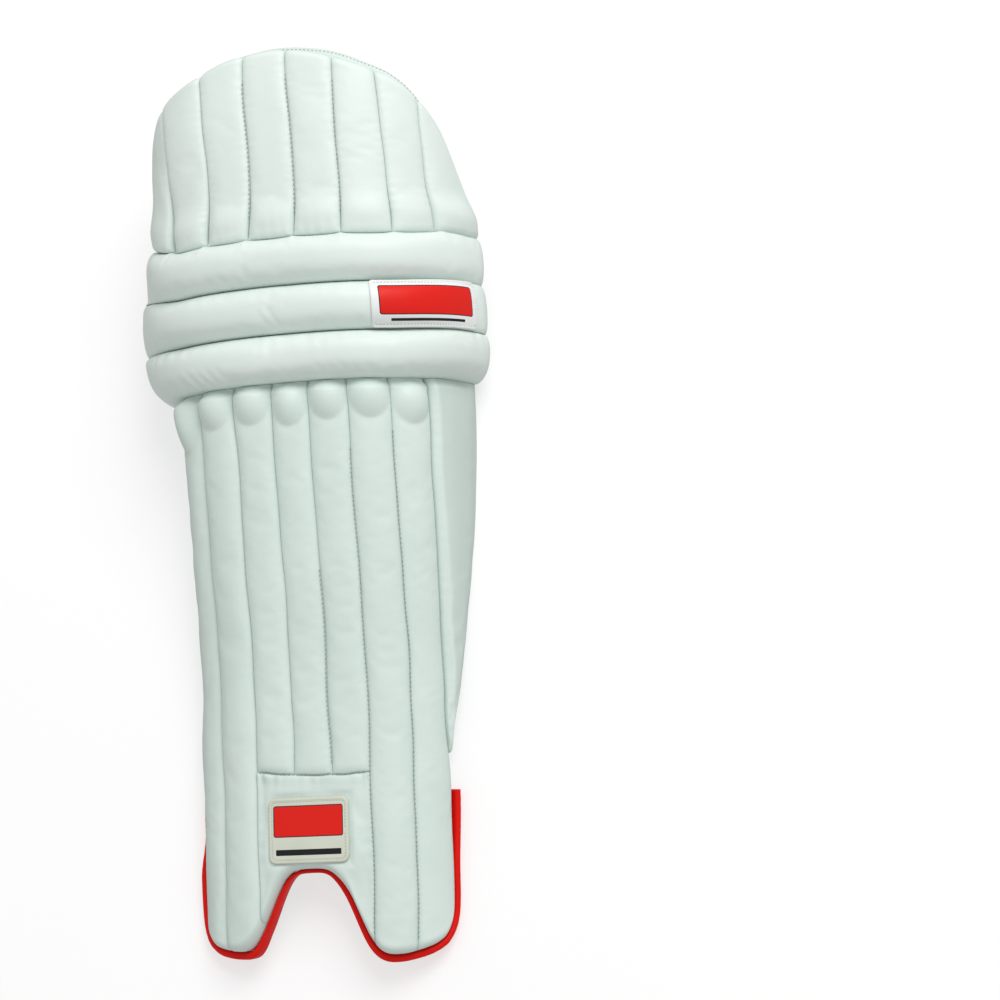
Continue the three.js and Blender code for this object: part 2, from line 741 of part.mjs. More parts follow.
// The floor presses a small flat into the edges that the pad lies on
pad.updateMatrixWorld(true);
const floor = new THREE.Box3().setFromObject(pad, true).min.z + FLOOR_FLAT;
const block = new THREE.BoxGeometry(FLOOR_BLOCK, FLOOR_BLOCK, FLOOR_BLOCK);
block.deleteAttribute("normal");
block.deleteAttribute("uv");
block.translate(0, 0, floor - FLOOR_BLOCK / 2);
block.applyMatrix4(pad.matrixWorld.clone().invert());
const floorSolid = toManifold(block);
for (const mesh of pad.children) {
  if (new THREE.Box3().setFromObject(mesh, true).min.z < floor) {
    mesh.geometry = fromManifold(toManifold(mesh.geometry).subtract(floorSolid));
  }
}

// The origin is on the floor under the middle of the pad
const box = new THREE.Box3().setFromObject(pad, true);
const middle = box.getCenter(new THREE.Vector3());
pad.position.set(-middle.x, -middle.y, -floor);

const battingPad = new THREE.Group();
battingPad.add(pad);

export default battingPad;
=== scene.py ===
# %% [markdown]
# # A padded leg guard, piece by piece
# The guard lies on its hollow side with its face up. The solids of the packed model fix where everything
# is, so this lesson starts by loading them. Each solid is then replaced by a finer surface that is worked
# out with numpy, dressed with a procedural finish, and made to ride on the one body that the guard has.

import bpy
import numpy as np
from mathutils import Matrix, Vector


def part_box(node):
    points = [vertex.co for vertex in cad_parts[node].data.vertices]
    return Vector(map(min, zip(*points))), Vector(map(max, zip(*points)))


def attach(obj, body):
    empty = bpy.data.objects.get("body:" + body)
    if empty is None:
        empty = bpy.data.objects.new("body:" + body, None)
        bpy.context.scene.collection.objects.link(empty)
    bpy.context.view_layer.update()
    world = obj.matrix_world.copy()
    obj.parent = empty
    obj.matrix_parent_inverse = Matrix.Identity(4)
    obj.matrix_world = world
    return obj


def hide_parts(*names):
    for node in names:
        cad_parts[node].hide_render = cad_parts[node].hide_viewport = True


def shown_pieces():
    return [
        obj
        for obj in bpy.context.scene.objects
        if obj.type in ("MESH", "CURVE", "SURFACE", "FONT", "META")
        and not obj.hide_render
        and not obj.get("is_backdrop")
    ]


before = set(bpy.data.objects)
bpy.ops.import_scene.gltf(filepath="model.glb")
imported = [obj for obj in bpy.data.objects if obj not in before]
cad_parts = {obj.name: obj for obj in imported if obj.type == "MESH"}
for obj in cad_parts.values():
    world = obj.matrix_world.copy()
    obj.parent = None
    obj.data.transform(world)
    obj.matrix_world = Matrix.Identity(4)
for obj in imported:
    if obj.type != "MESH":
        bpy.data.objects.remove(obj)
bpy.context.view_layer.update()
print("solids in the frame:", len(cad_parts))

# %% [markdown]
# ## The unrolled skin
# A leg guard is sewn flat and then bent round the leg, so every piece is drawn on one unrolled skin: s
# runs across it, v along it from the foot lobes to the thigh, and n stands out of it. Three short tables
# say how the skin turns away from the front, how wide that bend is along the guard, and how thick the
# padding is. Drawing on the flat skin keeps seams and stitches as simple lines, which a mesh modelled
# directly in space would not.

# %% Sizes of the skin, in millimetres and degrees
REST_PITCH = 9.2
BEND = {"s": [0, 16, 49, 81, 114, 168, 200], "turn": [0, 1, 12, 32, 56, 74, 80]}
FLAT_BEND = {"s": [0, 16, 49, 81, 114, 168, 200], "turn": [0, 1, 12, 31, 45, 56, 60]}
STEEP_BEND = {"s": [0, 16, 49, 81, 114, 122, 140, 168, 200], "turn": [0, 1, 12, 32, 56, 76, 83, 88, 92]}
STEEP_SPAN = (150, 205)
PLAIN_SPAN = (410, 475)
LEVELS = {
    "v": [-10, 70, 170, 230, 330, 425, 470, 549, 620, 700],
    "girth": [0.95, 0.95, 0.965, 0.97, 0.98, 1.0, 1.09, 1.09, 1.1, 1.12],
    "crown": [12.5, 6, -5, -7, -3, 1, 3, 8, 10, 5],
}
PADDING = {"s": [0, 70, 114, 220], "depth": [18, 18, 8, 8]}
FOOT_LEFT = {
    "s": [-115, -114, -111, -105, -95, -81, -69.5, -59.5, -50.3, -41.6, -33.5, -24.9, -18.5, -8],
    "v": [66, 44, 27, 16.5, 10.8, 9, 9.2, 13, 23.7, 38.9, 54.1, 66, 70, 70.9],
}
FOOT_RIGHT = {
    "s": [2, 11, 18, 27, 34.5, 43, 50, 58, 70, 82, 92, 103, 109, 113, 114.5, 115],
    "v": [70.9, 69.5, 64, 52, 35.5, 16.5, 8.2, 5.2, 5, 6.5, 8.6, 13.5, 21, 32, 46, 66],
}
SIDES = {
    "v": [66, 114, 156, 204, 250, 296, 342, 389, 416, 434, 460, 500, 540, 556],
    "left": [-115, -117.5, -116.5, -127, -139.5, -154, -167, -176, -178, -178, -166, -155, -147.5, -144],
    "right": [115, 117.5, 116.5, 127, 139.5, 154, 167, 176, 178, 178, 177, 178, 182, 185],
}
TOP = {
    "s": [-144, -143, -139, -133, -123, -100, -61, -25, 4, 40, 87, 117, 140, 160, 176, 185],
    "v": [556, 577, 602, 624, 644, 663, 681, 692, 695, 691, 676, 659, 637, 604, 574, 556],
}
GAP = 0.12
SOFT_GAP = 0.6
WING_GAP = 1.0
MILLIMETRE = 0.001
print("tables of the skin:", len(BEND["s"]) + len(LEVELS["v"]) + len(PADDING["s"]), "rows")


# %% Curves through the tables
def table_curve(x, y):
    """A cubic through each pair of rows. The slope at a row is the harmonic mean of the slopes
    beside it, or zero where they differ in sign, so the curve never swings past a row. Outside the
    table it stays level."""
    x = np.asarray(x, float)
    y = np.asarray(y, float)
    slope = np.diff(y) / np.diff(x)
    before = np.concatenate([slope[:1], slope])
    after = np.concatenate([slope, slope[-1:]])
    same_way = before * after > 0
    tangent = np.where(same_way, 2 * before * after / np.where(same_way, before + after, 1), 0)

    def height(at):
        at = np.clip(at, x[0], x[-1])
        k = np.clip(np.searchsorted(x, at, side="right") - 1, 0, len(slope) - 1)
        step = x[k + 1] - x[k]
        t = (at - x[k]) / step
        bow = t * (1 - t) * step * (tangent[k] * (1 - t) - tangent[k + 1] * t)
        return y[k] + (y[k + 1] - y[k]) * t * t * (3 - 2 * t) + bow

    return height


def ramp(t):
    """Smooth step from 0 to 1."""
    t = np.clip(t, 0, 1)
    return t * t * (3 - 2 * t)


def ramp_between(x, start, end):
    """Smooth step from 0 where x is at the start to 1 where it is at the end."""
    return ramp((x - start) / (end - start))


def blend(first, second, share):
    """First where share is 0 and second where it is 1."""
    return first + (second - first) * share


girth_at = table_curve(LEVELS["v"], LEVELS["girth"])
crown_at = table_curve(LEVELS["v"], LEVELS["crown"])
depth_at = table_curve(PADDING["s"], PADDING["depth"])
left_at = table_curve(SIDES["v"], SIDES["left"])
right_at = table_curve(SIDES["v"], SIDES["right"])
top_at = table_curve(TOP["s"], TOP["v"])
FOOT_STEP = 0.5
FOOT_HALF = 120
FOOT_BELL = {"sigma": 4, "reach": 12, "corner": 100, "inside": 80}
FOOT_STATIONS = np.arange(-FOOT_HALF, FOOT_HALF + FOOT_STEP, FOOT_STEP)
foot_table = table_curve(FOOT_LEFT["s"] + FOOT_RIGHT["s"], FOOT_LEFT["v"] + FOOT_RIGHT["v"])(FOOT_STATIONS)
bell_at = np.arange(-FOOT_BELL["reach"], FOOT_BELL["reach"] + FOOT_STEP, FOOT_STEP)
bell = np.exp(-((bell_at / FOOT_BELL["sigma"]) ** 2) / 2)
foot_even = np.convolve(np.pad(foot_table, len(bell) // 2, "edge"), bell / bell.sum(), "valid")
off_corners = ramp_between(np.abs(FOOT_STATIONS), FOOT_BELL["corner"], FOOT_BELL["inside"])
foot_even = blend(foot_table, foot_even, off_corners)


def foot_at(s):
    """The foot edge: a curve through its table, evened out with a bell of four millimetres away
    from the corners."""
    return np.interp(s, FOOT_STATIONS, foot_even)


print("the arch is", round(float(foot_at(0) - foot_even.min()), 1), "millimetres high")

# %% From the skin to space
BEND_STEP = 0.25
BEND_REACH = 260
BEND_STATIONS = np.arange(0, BEND_REACH, BEND_STEP)


def bend_of(table):
    """A bend: at a distance across, its turn and how far out and back the skin has gone, as running sums of
    the turn's cosine and sine."""
    turn_at = table_curve(table["s"], table["turn"])
    turns = np.radians(turn_at(BEND_STATIONS[:-1] + BEND_STEP / 2))
    outward = np.concatenate([[0], np.cumsum(np.cos(turns) * BEND_STEP)])
    backward = np.concatenate([[0], np.cumsum(np.sin(turns) * BEND_STEP)])

    def bend(along):
        sums = [np.interp(along, BEND_STATIONS, run) for run in (outward, backward)]
        return np.stack([np.radians(turn_at(along)), *sums])

    return bend


plain_bend = bend_of(BEND)
flat_bend = bend_of(FLAT_BEND)
steep_bend = bend_of(STEEP_BEND)


def bend_at(s, v, along):
    """The bend on the right is plain. On the left it is flat at the foot, steep at the wing and plain
    at the knee."""
    plain = plain_bend(along)
    left = blend(flat_bend(along), steep_bend(along), ramp_between(v, *STEEP_SPAN))
    return np.where(s < 0, blend(left, plain, ramp_between(v, *PLAIN_SPAN)), plain)


def depth(s):
    """Padding between the skin and the backing, the same on both sides."""
    return depth_at(np.abs(s))


def place(s, v, n):
    """Point of the bent guard: walk the bend's running sums by s over the girth, then step n
    along the normal."""
    s, v, n = np.broadcast_arrays(s, v, n)
    girth = girth_at(v)
    along = np.abs(s) / girth
    turn, outward, backward = bend_at(s, v, along)
    out = girth * outward + n * np.sin(turn)
    high = crown_at(v) - girth * backward + n * np.cos(turn)
    return np.stack([np.where(s < 0, -out, out), v, high], axis=-1)


def pitched(points):
    """The bent guard turned about X until foot and wings touch the floor, in metres."""
    tilt = np.radians(REST_PITCH)
    y = points[..., 1] * np.cos(tilt) - points[..., 2] * np.sin(tilt)
    z = points[..., 1] * np.sin(tilt) + points[..., 2] * np.cos(tilt)
    return np.stack([points[..., 0], y, z], axis=-1) * MILLIMETRE


print("the skin turns by up to", BEND["turn"][-1], "degrees on each side of its front")

# %% Where the guard lies
INSTEP_LABEL = {"s": -3, "v": 100.5, "width": 64, "height": 49, "radius": 6}
INSTEP = {"top": 143, "flat": -2, "edge": -5, "squareness": 8}
LABEL_THICKNESS = 1.2
LABEL_GAP = 0.7
LABEL_SHARES = np.linspace(-0.5, 0.5, 9)
label_s = INSTEP_LABEL["s"] + INSTEP_LABEL["width"] * LABEL_SHARES
label_v = INSTEP_LABEL["v"] + INSTEP_LABEL["height"] * LABEL_SHARES
label_n = INSTEP["flat"] + LABEL_GAP + np.array([0, LABEL_THICKNESS])
label_corners = pitched(place(label_s[:, None, None], label_v[None, :, None], label_n)).reshape(-1, 3)
REST_SHIFT = np.array(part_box("instep_label")).mean(axis=0)
REST_SHIFT = REST_SHIFT - (label_corners.min(axis=0) + label_corners.max(axis=0)) / 2


def at_rest(points):
    """Points of the bent guard where it lies, with whatever would sink below the floor pressed
    flat on it."""
    resting = pitched(points) + REST_SHIFT
    resting[..., 2] = np.maximum(resting[..., 2], 0)
    return resting


print("shift of the guard in millimetres:", np.round(REST_SHIFT / MILLIMETRE, 2))

# %% [markdown]
# ## Camera and light
# The camera comes first, because every later choice is judged through it. Its turn against the guard
# was measured on the picture with a few seams, so it is written in the guard's own axes and then laid
# down with the guard. The light is a large soft panel above the thigh end with an even sky around, as
# in a product picture.

# %% Camera
VIEW_YAW = 14.8
VIEW_PITCH = -2.0
VIEW_ROLL = 3.65
VIEW_DISTANCE = 1900
VIEW_SCALE = 0.754
VIEW_AIM = np.array([0, 345, 0])
AIM_PIXEL = np.array([293, 505])
IMAGE_SIDE = 1000
SENSOR = 36


def put_in_scene(name, data):
    """A new object that shows the given data, linked to the scene."""
    made = bpy.data.objects.new(name, data)
    bpy.context.scene.collection.objects.link(made)
    return made


yaw, pitch, roll = np.radians([VIEW_YAW, VIEW_PITCH, VIEW_ROLL])
back = np.array([np.sin(yaw) * np.cos(pitch), np.sin(pitch), np.cos(yaw) * np.cos(pitch)])
level = np.array([np.cos(yaw), 0, -np.sin(yaw)])
right = np.cos(roll) * level - np.sin(roll) * np.cross(back, level)
up = np.cross(back, right)
aside, below = (AIM_PIXEL - IMAGE_SIDE / 2) * VIEW_SCALE
eye = VIEW_AIM + VIEW_DISTANCE * back - aside * right + below * up
axes = pitched(np.stack([right, up, back])) / MILLIMETRE
camera_data = bpy.data.cameras.new("camera")
camera_data.sensor_width = SENSOR
camera_data.lens = SENSOR * VIEW_DISTANCE / (IMAGE_SIDE * VIEW_SCALE)
camera = put_in_scene("camera", camera_data)
camera_place = np.eye(4)
camera_place[:3, :3] = axes.T
camera_place[:3, 3] = pitched(eye) + REST_SHIFT
camera.matrix_world = Matrix(camera_place.tolist())
bpy.context.scene.camera = camera
print("camera at", np.round(camera_place[:3, 3], 3), "with a lens of", round(camera_data.lens, 1))

# %% Light
PANELS = {"panel_over_thigh": {"at": (1.2, 1.6, 2.3), "size": 1.7, "power": 52}}
PANEL_AIM = Vector((0, 0, 0.08))
SKY = {"Color": (1, 1, 1, 1), "Strength": 0.54}


def add_panel(name, at, size, power):
    """A square soft light that looks at the middle of the guard."""
    data = bpy.data.lights.new(name, "AREA")
    data.size = size
    data.energy = power
    panel = put_in_scene(name, data)
    panel.location = at
    panel.rotation_mode = "QUATERNION"
    panel.rotation_quaternion = (PANEL_AIM - panel.location).to_track_quat("-Z", "Y")


for panel_name, facts in PANELS.items():
    add_panel(panel_name, **facts)
sky = bpy.data.worlds.new("sky")
sky.use_nodes = True
for socket_name, value in SKY.items():
    sky.node_tree.nodes["Background"].inputs[socket_name].default_value = value
bpy.context.scene.world = sky
bpy.context.scene.view_settings.view_transform = "Standard"
print("soft panels:", len(PANELS))

# %% [markdown]
# ## Finishes as expressions
# A finish is a small sum: a base colour, a little unevenness, a darker line along each seam and a fine
# grain in the bump. Written with plain node calls that sum is hard to read, so one small class wraps a
# socket and lets Python's operators add the Math nodes. Everything else is one method that names a node,
# its settings and its inputs.


# %% A socket that can be added and multiplied
class Wire:
    """One output socket of a node tree. Arithmetic with numbers or other wires adds Math nodes."""

    def __init__(self, tree, socket):
        self.tree = tree
        self.socket = socket

    @staticmethod
    def node(tree, kind, settings=None, inputs=None, output=0):
        """Adds a node: first its settings, then a value or a wire for each input."""
        made = tree.nodes.new(kind)
        for key, value in (settings or {}).items():
            setattr(made, key, value)
        for key, value in (inputs or {}).items():
            if isinstance(value, Wire):
                tree.links.new(value.socket, made.inputs[key])
            else:
                made.inputs[key].default_value = value
        return Wire(tree, made.outputs[output])

    def maths(self, operation, first, second):
        """One Math node on two numbers or wires."""
        inputs = {0: first, 1: second}
        return Wire.node(self.tree, "ShaderNodeMath", {"operation": operation}, inputs)

    def __add__(self, other):
        return self.maths("ADD", self, other)

    def __radd__(self, other):
        return self.maths("ADD", other, self)

    def __sub__(self, other):
        return self.maths("SUBTRACT", self, other)

    def __rsub__(self, other):
        return self.maths("SUBTRACT", other, self)

    def __mul__(self, other):
        return self.maths("MULTIPLY", self, other)

    def __rmul__(self, other):
        return self.maths("MULTIPLY", other, self)

    def __pow__(self, other):
        return self.maths("POWER", self, other)

    def __gt__(self, other):
        return self.maths("GREATER_THAN", self, other)


print("a wire knows", [name for name in vars(Wire) if name.endswith(("add__", "sub__", "mul__"))])

# %% Parts that the finishes share
MIX_A = 6
MIX_B = 7
MIX_RESULT = 2


def new_finish(name):
    """A material with an empty Principled surface, and its node tree."""
    material = bpy.data.materials.new(name)
    material.use_nodes = True
    return material, material.node_tree


def mix_colours(tree, share, first, second):
    """The colour that is first where share is 0 and second where it is 1."""
    settings = {"data_type": "RGBA", "clamp_factor": True}
    inputs = {0: share, MIX_A: first, MIX_B: second}
    return Wire.node(tree, "ShaderNodeMix", settings, inputs, MIX_RESULT)


def object_place(tree):
    """The piece's own coordinates, in metres."""
    return Wire.node(tree, "ShaderNodeTexCoord", output="Object")


def clouds(tree, size, detail=3.0, roughness=0.5):
    """Soft unevenness from 0 to 1 whose blots are about size millimetres wide."""
    inputs = {"Vector": object_place(tree), "Scale": 1 / (size * MILLIMETRE), "Detail": detail}
    inputs["Roughness"] = roughness
    return Wire.node(tree, "ShaderNodeTexNoise", None, inputs, "Fac")


def grain(tree, size):
    """Pebbles of grained leather about size millimetres wide: the distance to the nearest
    of scattered points."""
    inputs = {"Vector": object_place(tree), "Scale": 1 / (size * MILLIMETRE)}
    settings = {"feature": "SMOOTH_F1"}
    return Wire.node(tree, "ShaderNodeTexVoronoi", settings, inputs, "Distance")


def number_on_piece(tree, name):
    """A number that the mesh holds at each point, such as how near a seam is."""
    return Wire.node(tree, "ShaderNodeAttribute", {"attribute_name": name}, None, "Fac")


def relief(tree, height, millimetres):
    """A bump of that height for the shader's normal."""
    inputs = {"Height": height, "Distance": millimetres * MILLIMETRE, "Strength": 1.0}
    return Wire.node(tree, "ShaderNodeBump", None, inputs, "Normal")


def set_surface(material, **inputs):
    """Puts values and wires on the Principled surface, with spaces for the underscores of their names."""
    surface = material.node_tree.nodes["Principled BSDF"]
    for key, value in inputs.items():
        socket = surface.inputs[key.replace("_", " ")]
        if isinstance(value, Wire):
            material.node_tree.links.new(value.socket, socket)
        else:
            socket.default_value = value
    return material


print("shared parts of the finishes: clouds, grain, relief")

# %% [markdown]
# ## The white leather
# The face is a white coated leather with a faint green cast. It is smooth and a little satin, so its grain
# is very shallow, and what the eye reads is slow unevenness and the grey-green along each seam, partly dirt
# and partly painted shade in the seam's valley. The mesh of each piece carries a number called seam that is
# 1 on a sewn edge and fades within two millimetres. On the flat of a wing and the left side of the first two
# canes the same number is set part of the way, as painted shade where they turn away from the light. Knee
# and thigh take a paler copy of the leather that paints the stronger light on that end, so one recipe makes
# two finishes.

# %% Leather finishes
LEATHER_PALE = (0.75, 0.855, 0.805, 1)
LEATHER_DULL = (0.69, 0.805, 0.75, 1)
SEAM_DIRT_AND_SHADE = (0.48, 0.58, 0.525, 1)
# A paler copy of the leather for knee and thigh: painted light, for the stronger light on that end.
LIT_KNEE_PALE = (0.825, 0.91, 0.865, 1)
LIT_KNEE_DULL = (0.765, 0.855, 0.805, 1)


def leather_finish(name, pale, dull):
    """Pale and dull leather in clouds, a seam colour along the seams that is partly dirt and partly painted
    shade, a pebble grain and slow dents in the bump."""
    material, tree = new_finish(name)
    seam = number_on_piece(tree, "seam")
    mottle = clouds(tree, 90) * 0.7 + clouds(tree, 14) * 0.3
    face = mix_colours(tree, (mottle - 0.35) * 2.6, pale, dull)
    # The seam colour is partly dirt and partly painted shade; where the number is set for painted shade on
    # canes and wings, it darkens those too.
    colour = mix_colours(tree, seam * 0.6, face, SEAM_DIRT_AND_SHADE)
    height = grain(tree, 0.9) * 0.5 + clouds(tree, 0.45) * 0.3 + clouds(tree, 6) * 0.9
    roughness = clouds(tree, 25) * 0.16 + seam * 0.2 + 0.4
    surface = {"Base_Color": colour, "Roughness": roughness, "Normal": relief(tree, height, 0.12)}
    return set_surface(material, **surface, Specular_IOR_Level=0.4)


white_leather = leather_finish("white_leather", LEATHER_PALE, LEATHER_DULL)
lit_knee_leather = leather_finish("lit_knee_leather", LIT_KNEE_PALE, LIT_KNEE_DULL)
print("finishes:", white_leather.name, "and", lit_knee_leather.name)

# %% [markdown]
# ## Red binding, lining, webbing and thread
# The binding is a strip of glossy vinyl, the lining and the strap are woven, and the thread is a dull grey,
# or cream on the patches and along the top edge. The weave follows the cloth, so those pieces hold their
# flat coordinates as an attribute, and two crossed waves draw warp and weft.

# %% Other finishes
RED_PALE = (0.86, 0.010, 0.005, 1)
RED_DEEP = (0.70, 0.007, 0.004, 1)
LINING = {"pale": (0.72, 0.76, 0.72, 1), "dark": (0.58, 0.63, 0.59, 1)}
LINING_WEAVE = {"pitch": 1.1, "height": 0.25, "roughness": 0.7}
WEBBING = {"pale": (0.026, 0.027, 0.030, 1), "dark": (0.010, 0.010, 0.012, 1)}
WEBBING_WEAVE = {"pitch": 1.6, "height": 0.5, "roughness": 0.65}
GREY_THREAD = {"pale": (0.48, 0.54, 0.51, 1), "dark": (0.28, 0.33, 0.31, 1)}
CREAM_THREAD = {"pale": (0.66, 0.68, 0.60, 1), "dark": (0.52, 0.54, 0.47, 1)}


def vinyl_finish(name):
    """Glossy red with deeper clouds, and a shallow unevenness that breaks up the reflections."""
    material, tree = new_finish(name)
    seam = number_on_piece(tree, "seam")
    # Deeper red along the seam number: painted shade on the binding's inner edge, where it meets the
    # leather.
    colour = mix_colours(tree, clouds(tree, 18) * 0.6 + seam * 0.8, RED_PALE, RED_DEEP)
    height = clouds(tree, 5) * 0.7 + grain(tree, 0.7) * 0.2
    roughness = clouds(tree, 9) * 0.14 + 0.36
    surface = {"Base_Color": colour, "Roughness": roughness, "Normal": relief(tree, height, 0.2)}
    return set_surface(material, **surface, Specular_IOR_Level=0.12)


def thread_wave(tree, direction, pitch):
    """Rounded threads side by side: a sine across the flat cloth, from 0 to 1, one thread to each pitch."""
    flat = Wire.node(tree, "ShaderNodeAttribute", {"attribute_name": "flat"}, None, "Vector")
    apart = Wire.node(tree, "ShaderNodeSeparateXYZ", None, {"Vector": flat}, direction)
    turns = apart * (2 * np.pi / (pitch * MILLIMETRE))
    return Wire.node(tree, "ShaderNodeMath", {"operation": "SINE"}, {0: turns}) * 0.5 + 0.5


def woven_finish(name, pale, dark, pitch, height, roughness):
    """Plain weave: warp and weft waves multiplied for the colour and added for the bump."""
    material, tree = new_finish(name)
    warp = thread_wave(tree, "X", pitch)
    weft = thread_wave(tree, "Y", pitch)
    tone_shift = clouds(tree, 40)
    colour = mix_colours(tree, 1 - warp * weft * 0.7 - tone_shift * 0.4, pale, dark)
    surface = {"Base_Color": colour, "Roughness": tone_shift * 0.12 + roughness}
    surface["Normal"] = relief(tree, warp * 0.5 + weft * 0.5, height)
    return set_surface(material, **surface, Specular_IOR_Level=0.25)


def thread_finish(name, pale, dark):
    """Dull twisted thread: clouds finer than a stitch darken it here and there."""
    material, tree = new_finish(name)
    colour = mix_colours(tree, clouds(tree, 1.2), pale, dark)
    surface = {"Base_Color": colour, "Roughness": clouds(tree, 2) * 0.2 + 0.55}
    return set_surface(material, **surface, Normal=relief(tree, clouds(tree, 0.3), 0.15))


red_vinyl = vinyl_finish("red_vinyl")
lining_cloth = woven_finish("lining_cloth", **LINING, **LINING_WEAVE)
webbing = woven_finish("webbing", **WEBBING, **WEBBING_WEAVE)
thread = thread_finish("thread", **GREY_THREAD)
patch_thread = thread_finish("patch_thread", **CREAM_THREAD)
print("finishes:", red_vinyl.name, lining_cloth.name, webbing.name, thread.name, patch_thread.name)

# %% [markdown]
# ## Sewn patches
# Two patches sit on the guard, and both stay free of words: each shows one plain red block with a thin
# dark outline and a dark bar below it. The patch holds its own flat coordinates, in millimetres from its
# middle, so block and bar are rounded boxes worked out from them, and their edges stay sharp however near
# the camera comes.

# %% Patch finish
PATCH_INK = (0.012, 0.012, 0.014, 1)
PATCH_RED = (0.80, 0.012, 0.006, 1)
BLOCK_RADIUS = 1.2
BAR_RADIUS = 0.6
OUTLINE_WIDTH = 0.7


def outside_box(tree, width, height, raised, radius):
    """Distance in millimetres outside a rounded box that is raised from the patch's middle: the length of
    the part of the point beyond its inner corner, less the radius."""
    flat = Wire.node(tree, "ShaderNodeAttribute", {"attribute_name": "flat"}, None, "Vector")
    beyond = []
    for direction, middle, half in (("X", 0, width / 2), ("Y", raised, height / 2)):
        apart = Wire.node(tree, "ShaderNodeSeparateXYZ", None, {"Vector": flat}, direction)
        from_middle = apart * (1 / MILLIMETRE) - middle
        size = Wire.node(tree, "ShaderNodeMath", {"operation": "ABSOLUTE"}, {0: from_middle})
        over = size - (half - radius)
        beyond.append(Wire.node(tree, "ShaderNodeMath", {"operation": "MAXIMUM"}, {0: over, 1: 0.0}))
    return (beyond[0] * beyond[0] + beyond[1] * beyond[1]) ** 0.5 - radius


def patch_finish(name, pale, dull, block, bar):
    """Pale coated cloth with a red block, a dark line round it and a dark bar. Block and bar are given as
    width, height and how far they are raised from the patch's middle."""
    material, tree = new_finish(name)
    outside = outside_box(tree, *block, BLOCK_RADIUS)
    seam = number_on_piece(tree, "seam")
    face = mix_colours(tree, clouds(tree, 20) * 0.8 + seam * 0.6, pale, dull)
    barred = mix_colours(tree, outside_box(tree, *bar, BAR_RADIUS) > 0.0, PATCH_INK, face)
    inked = mix_colours(tree, outside > OUTLINE_WIDTH, PATCH_INK, barred)
    colour = mix_colours(tree, outside > 0.0, PATCH_RED, inked)
    height = clouds(tree, 0.5) * 0.4 + clouds(tree, 4) * 0.6
    surface = {"Base_Color": colour, "Roughness": clouds(tree, 12) * 0.15 + 0.38}
    return set_surface(material, **surface, Normal=relief(tree, height, 0.12), Specular_IOR_Level=0.25)


CREAM = {
    "pale": (0.76, 0.79, 0.68, 1),
    "dull": (0.61, 0.64, 0.53, 1),
    "block": (54, 22, 7),
    "bar": (52, 4.4, -16),
}
WHITE = {
    "pale": (0.92, 0.94, 0.935, 1),
    "dull": (0.84, 0.87, 0.86, 1),
    "block": (72, 21, 2.2),
    "bar": (58, 2, -12.5),
}
cream_patch = patch_finish("cream_patch", **CREAM)
white_patch = patch_finish("white_patch", **WHITE)
print("patches:", cream_patch.name, white_patch.name)

# %% [markdown]
# ## The floor
# The guard lies on a plain pale floor. Real studio paper is lit from all round until it turns white; here
# the floor glows a little instead, so that it comes out pale without more light on the leather, and it
# sends no light back. It is declared as stage, because it is no part of the guard.

# %% Floor
FLOOR_PALE = (0.50, 0.50, 0.50, 1)
FLOOR_DULL = (0.48, 0.48, 0.48, 1)
FLOOR_GLOW = 0.56
FLOOR_HALF = 6.0
floor_finish, floor_tree = new_finish("floor")
floor_colour = mix_colours(floor_tree, clouds(floor_tree, 700), FLOOR_PALE, FLOOR_DULL)
set_surface(floor_finish, Base_Color=floor_colour, Roughness=0.9, Specular_IOR_Level=0.1)
set_surface(floor_finish, Emission_Color=(1, 1, 1, 1), Emission_Strength=FLOOR_GLOW)
floor_mesh = bpy.data.meshes.new("floor")
floor_corners = [(-FLOOR_HALF, -FLOOR_HALF, 0), (FLOOR_HALF, -FLOOR_HALF, 0)]
floor_corners += [(FLOOR_HALF, FLOOR_HALF, 0), (-FLOOR_HALF, FLOOR_HALF, 0)]
floor_mesh.from_pydata(floor_corners, [], [(0, 1, 2, 3)])
floor_mesh.materials.append(floor_finish)
floor = put_in_scene("floor", floor_mesh)
floor.visible_diffuse = False
floor.visible_glossy = False
floor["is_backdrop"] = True
print("floor:", 2 * FLOOR_HALF, "metres square")

# %% [markdown]
# ## Meshes from rings
# Nearly every piece is a long closed shape: a cane, a roll, a band. So one function takes rings of points,
# joins each ring to the next with four-sided faces and fills the first and last ring. It works on whole
# arrays, turns the faces outwards by the sign of the volume, and stores extra numbers at the points for the
# finishes to read.


# %% Rings to mesh
def ring_faces(rings, points):
    """Corner numbers of the faces between neighbouring rings: each point, the next in its ring, and the
    same two in the next ring."""
    start = np.arange(rings - 1)[:, None] * points
    here = np.arange(points)[None, :]
    after = (here + 1) % points
    corners = [start + here, start + after, start + points + after, start + points + here]
    return np.stack(corners, axis=-1).reshape(-1, 4)


def volume_of(points, quads):
    """Signed volume: the sum over each face's two triangles of the triple product of their
    corners, over six."""
    p, q, r, t = (points[quads[:, k]] for k in range(4))
    first = np.einsum("ij,ij->i", p, np.cross(q, r))
    second = np.einsum("ij,ij->i", p, np.cross(r, t))
    return (first.sum() + second.sum()) / 6


def mesh_from_faces(name, points, quads, caps):
    """A mesh of four-sided faces and a few larger caps, put in as flat arrays."""
    corners = np.concatenate([quads.ravel(), *caps]).astype(np.int32)
    cap_sizes = [len(cap) for cap in caps]
    sizes = np.concatenate([np.full(len(quads), 4), cap_sizes]).astype(np.int32)
    starts = np.concatenate([[0], np.cumsum(sizes)[:-1]]).astype(np.int32)
    mesh = bpy.data.meshes.new(name)
    mesh.vertices.add(len(points))
    mesh.vertices.foreach_set("co", points.astype(np.float32).ravel())
    mesh.loops.add(len(corners))
    mesh.loops.foreach_set("vertex_index", corners)
    mesh.polygons.add(len(sizes))
    mesh.polygons.foreach_set("loop_start", starts)
    mesh.polygons.foreach_set("use_smooth", np.ones(len(sizes), bool))
    mesh.update(calc_edges=True)
    mesh.validate()
    return mesh


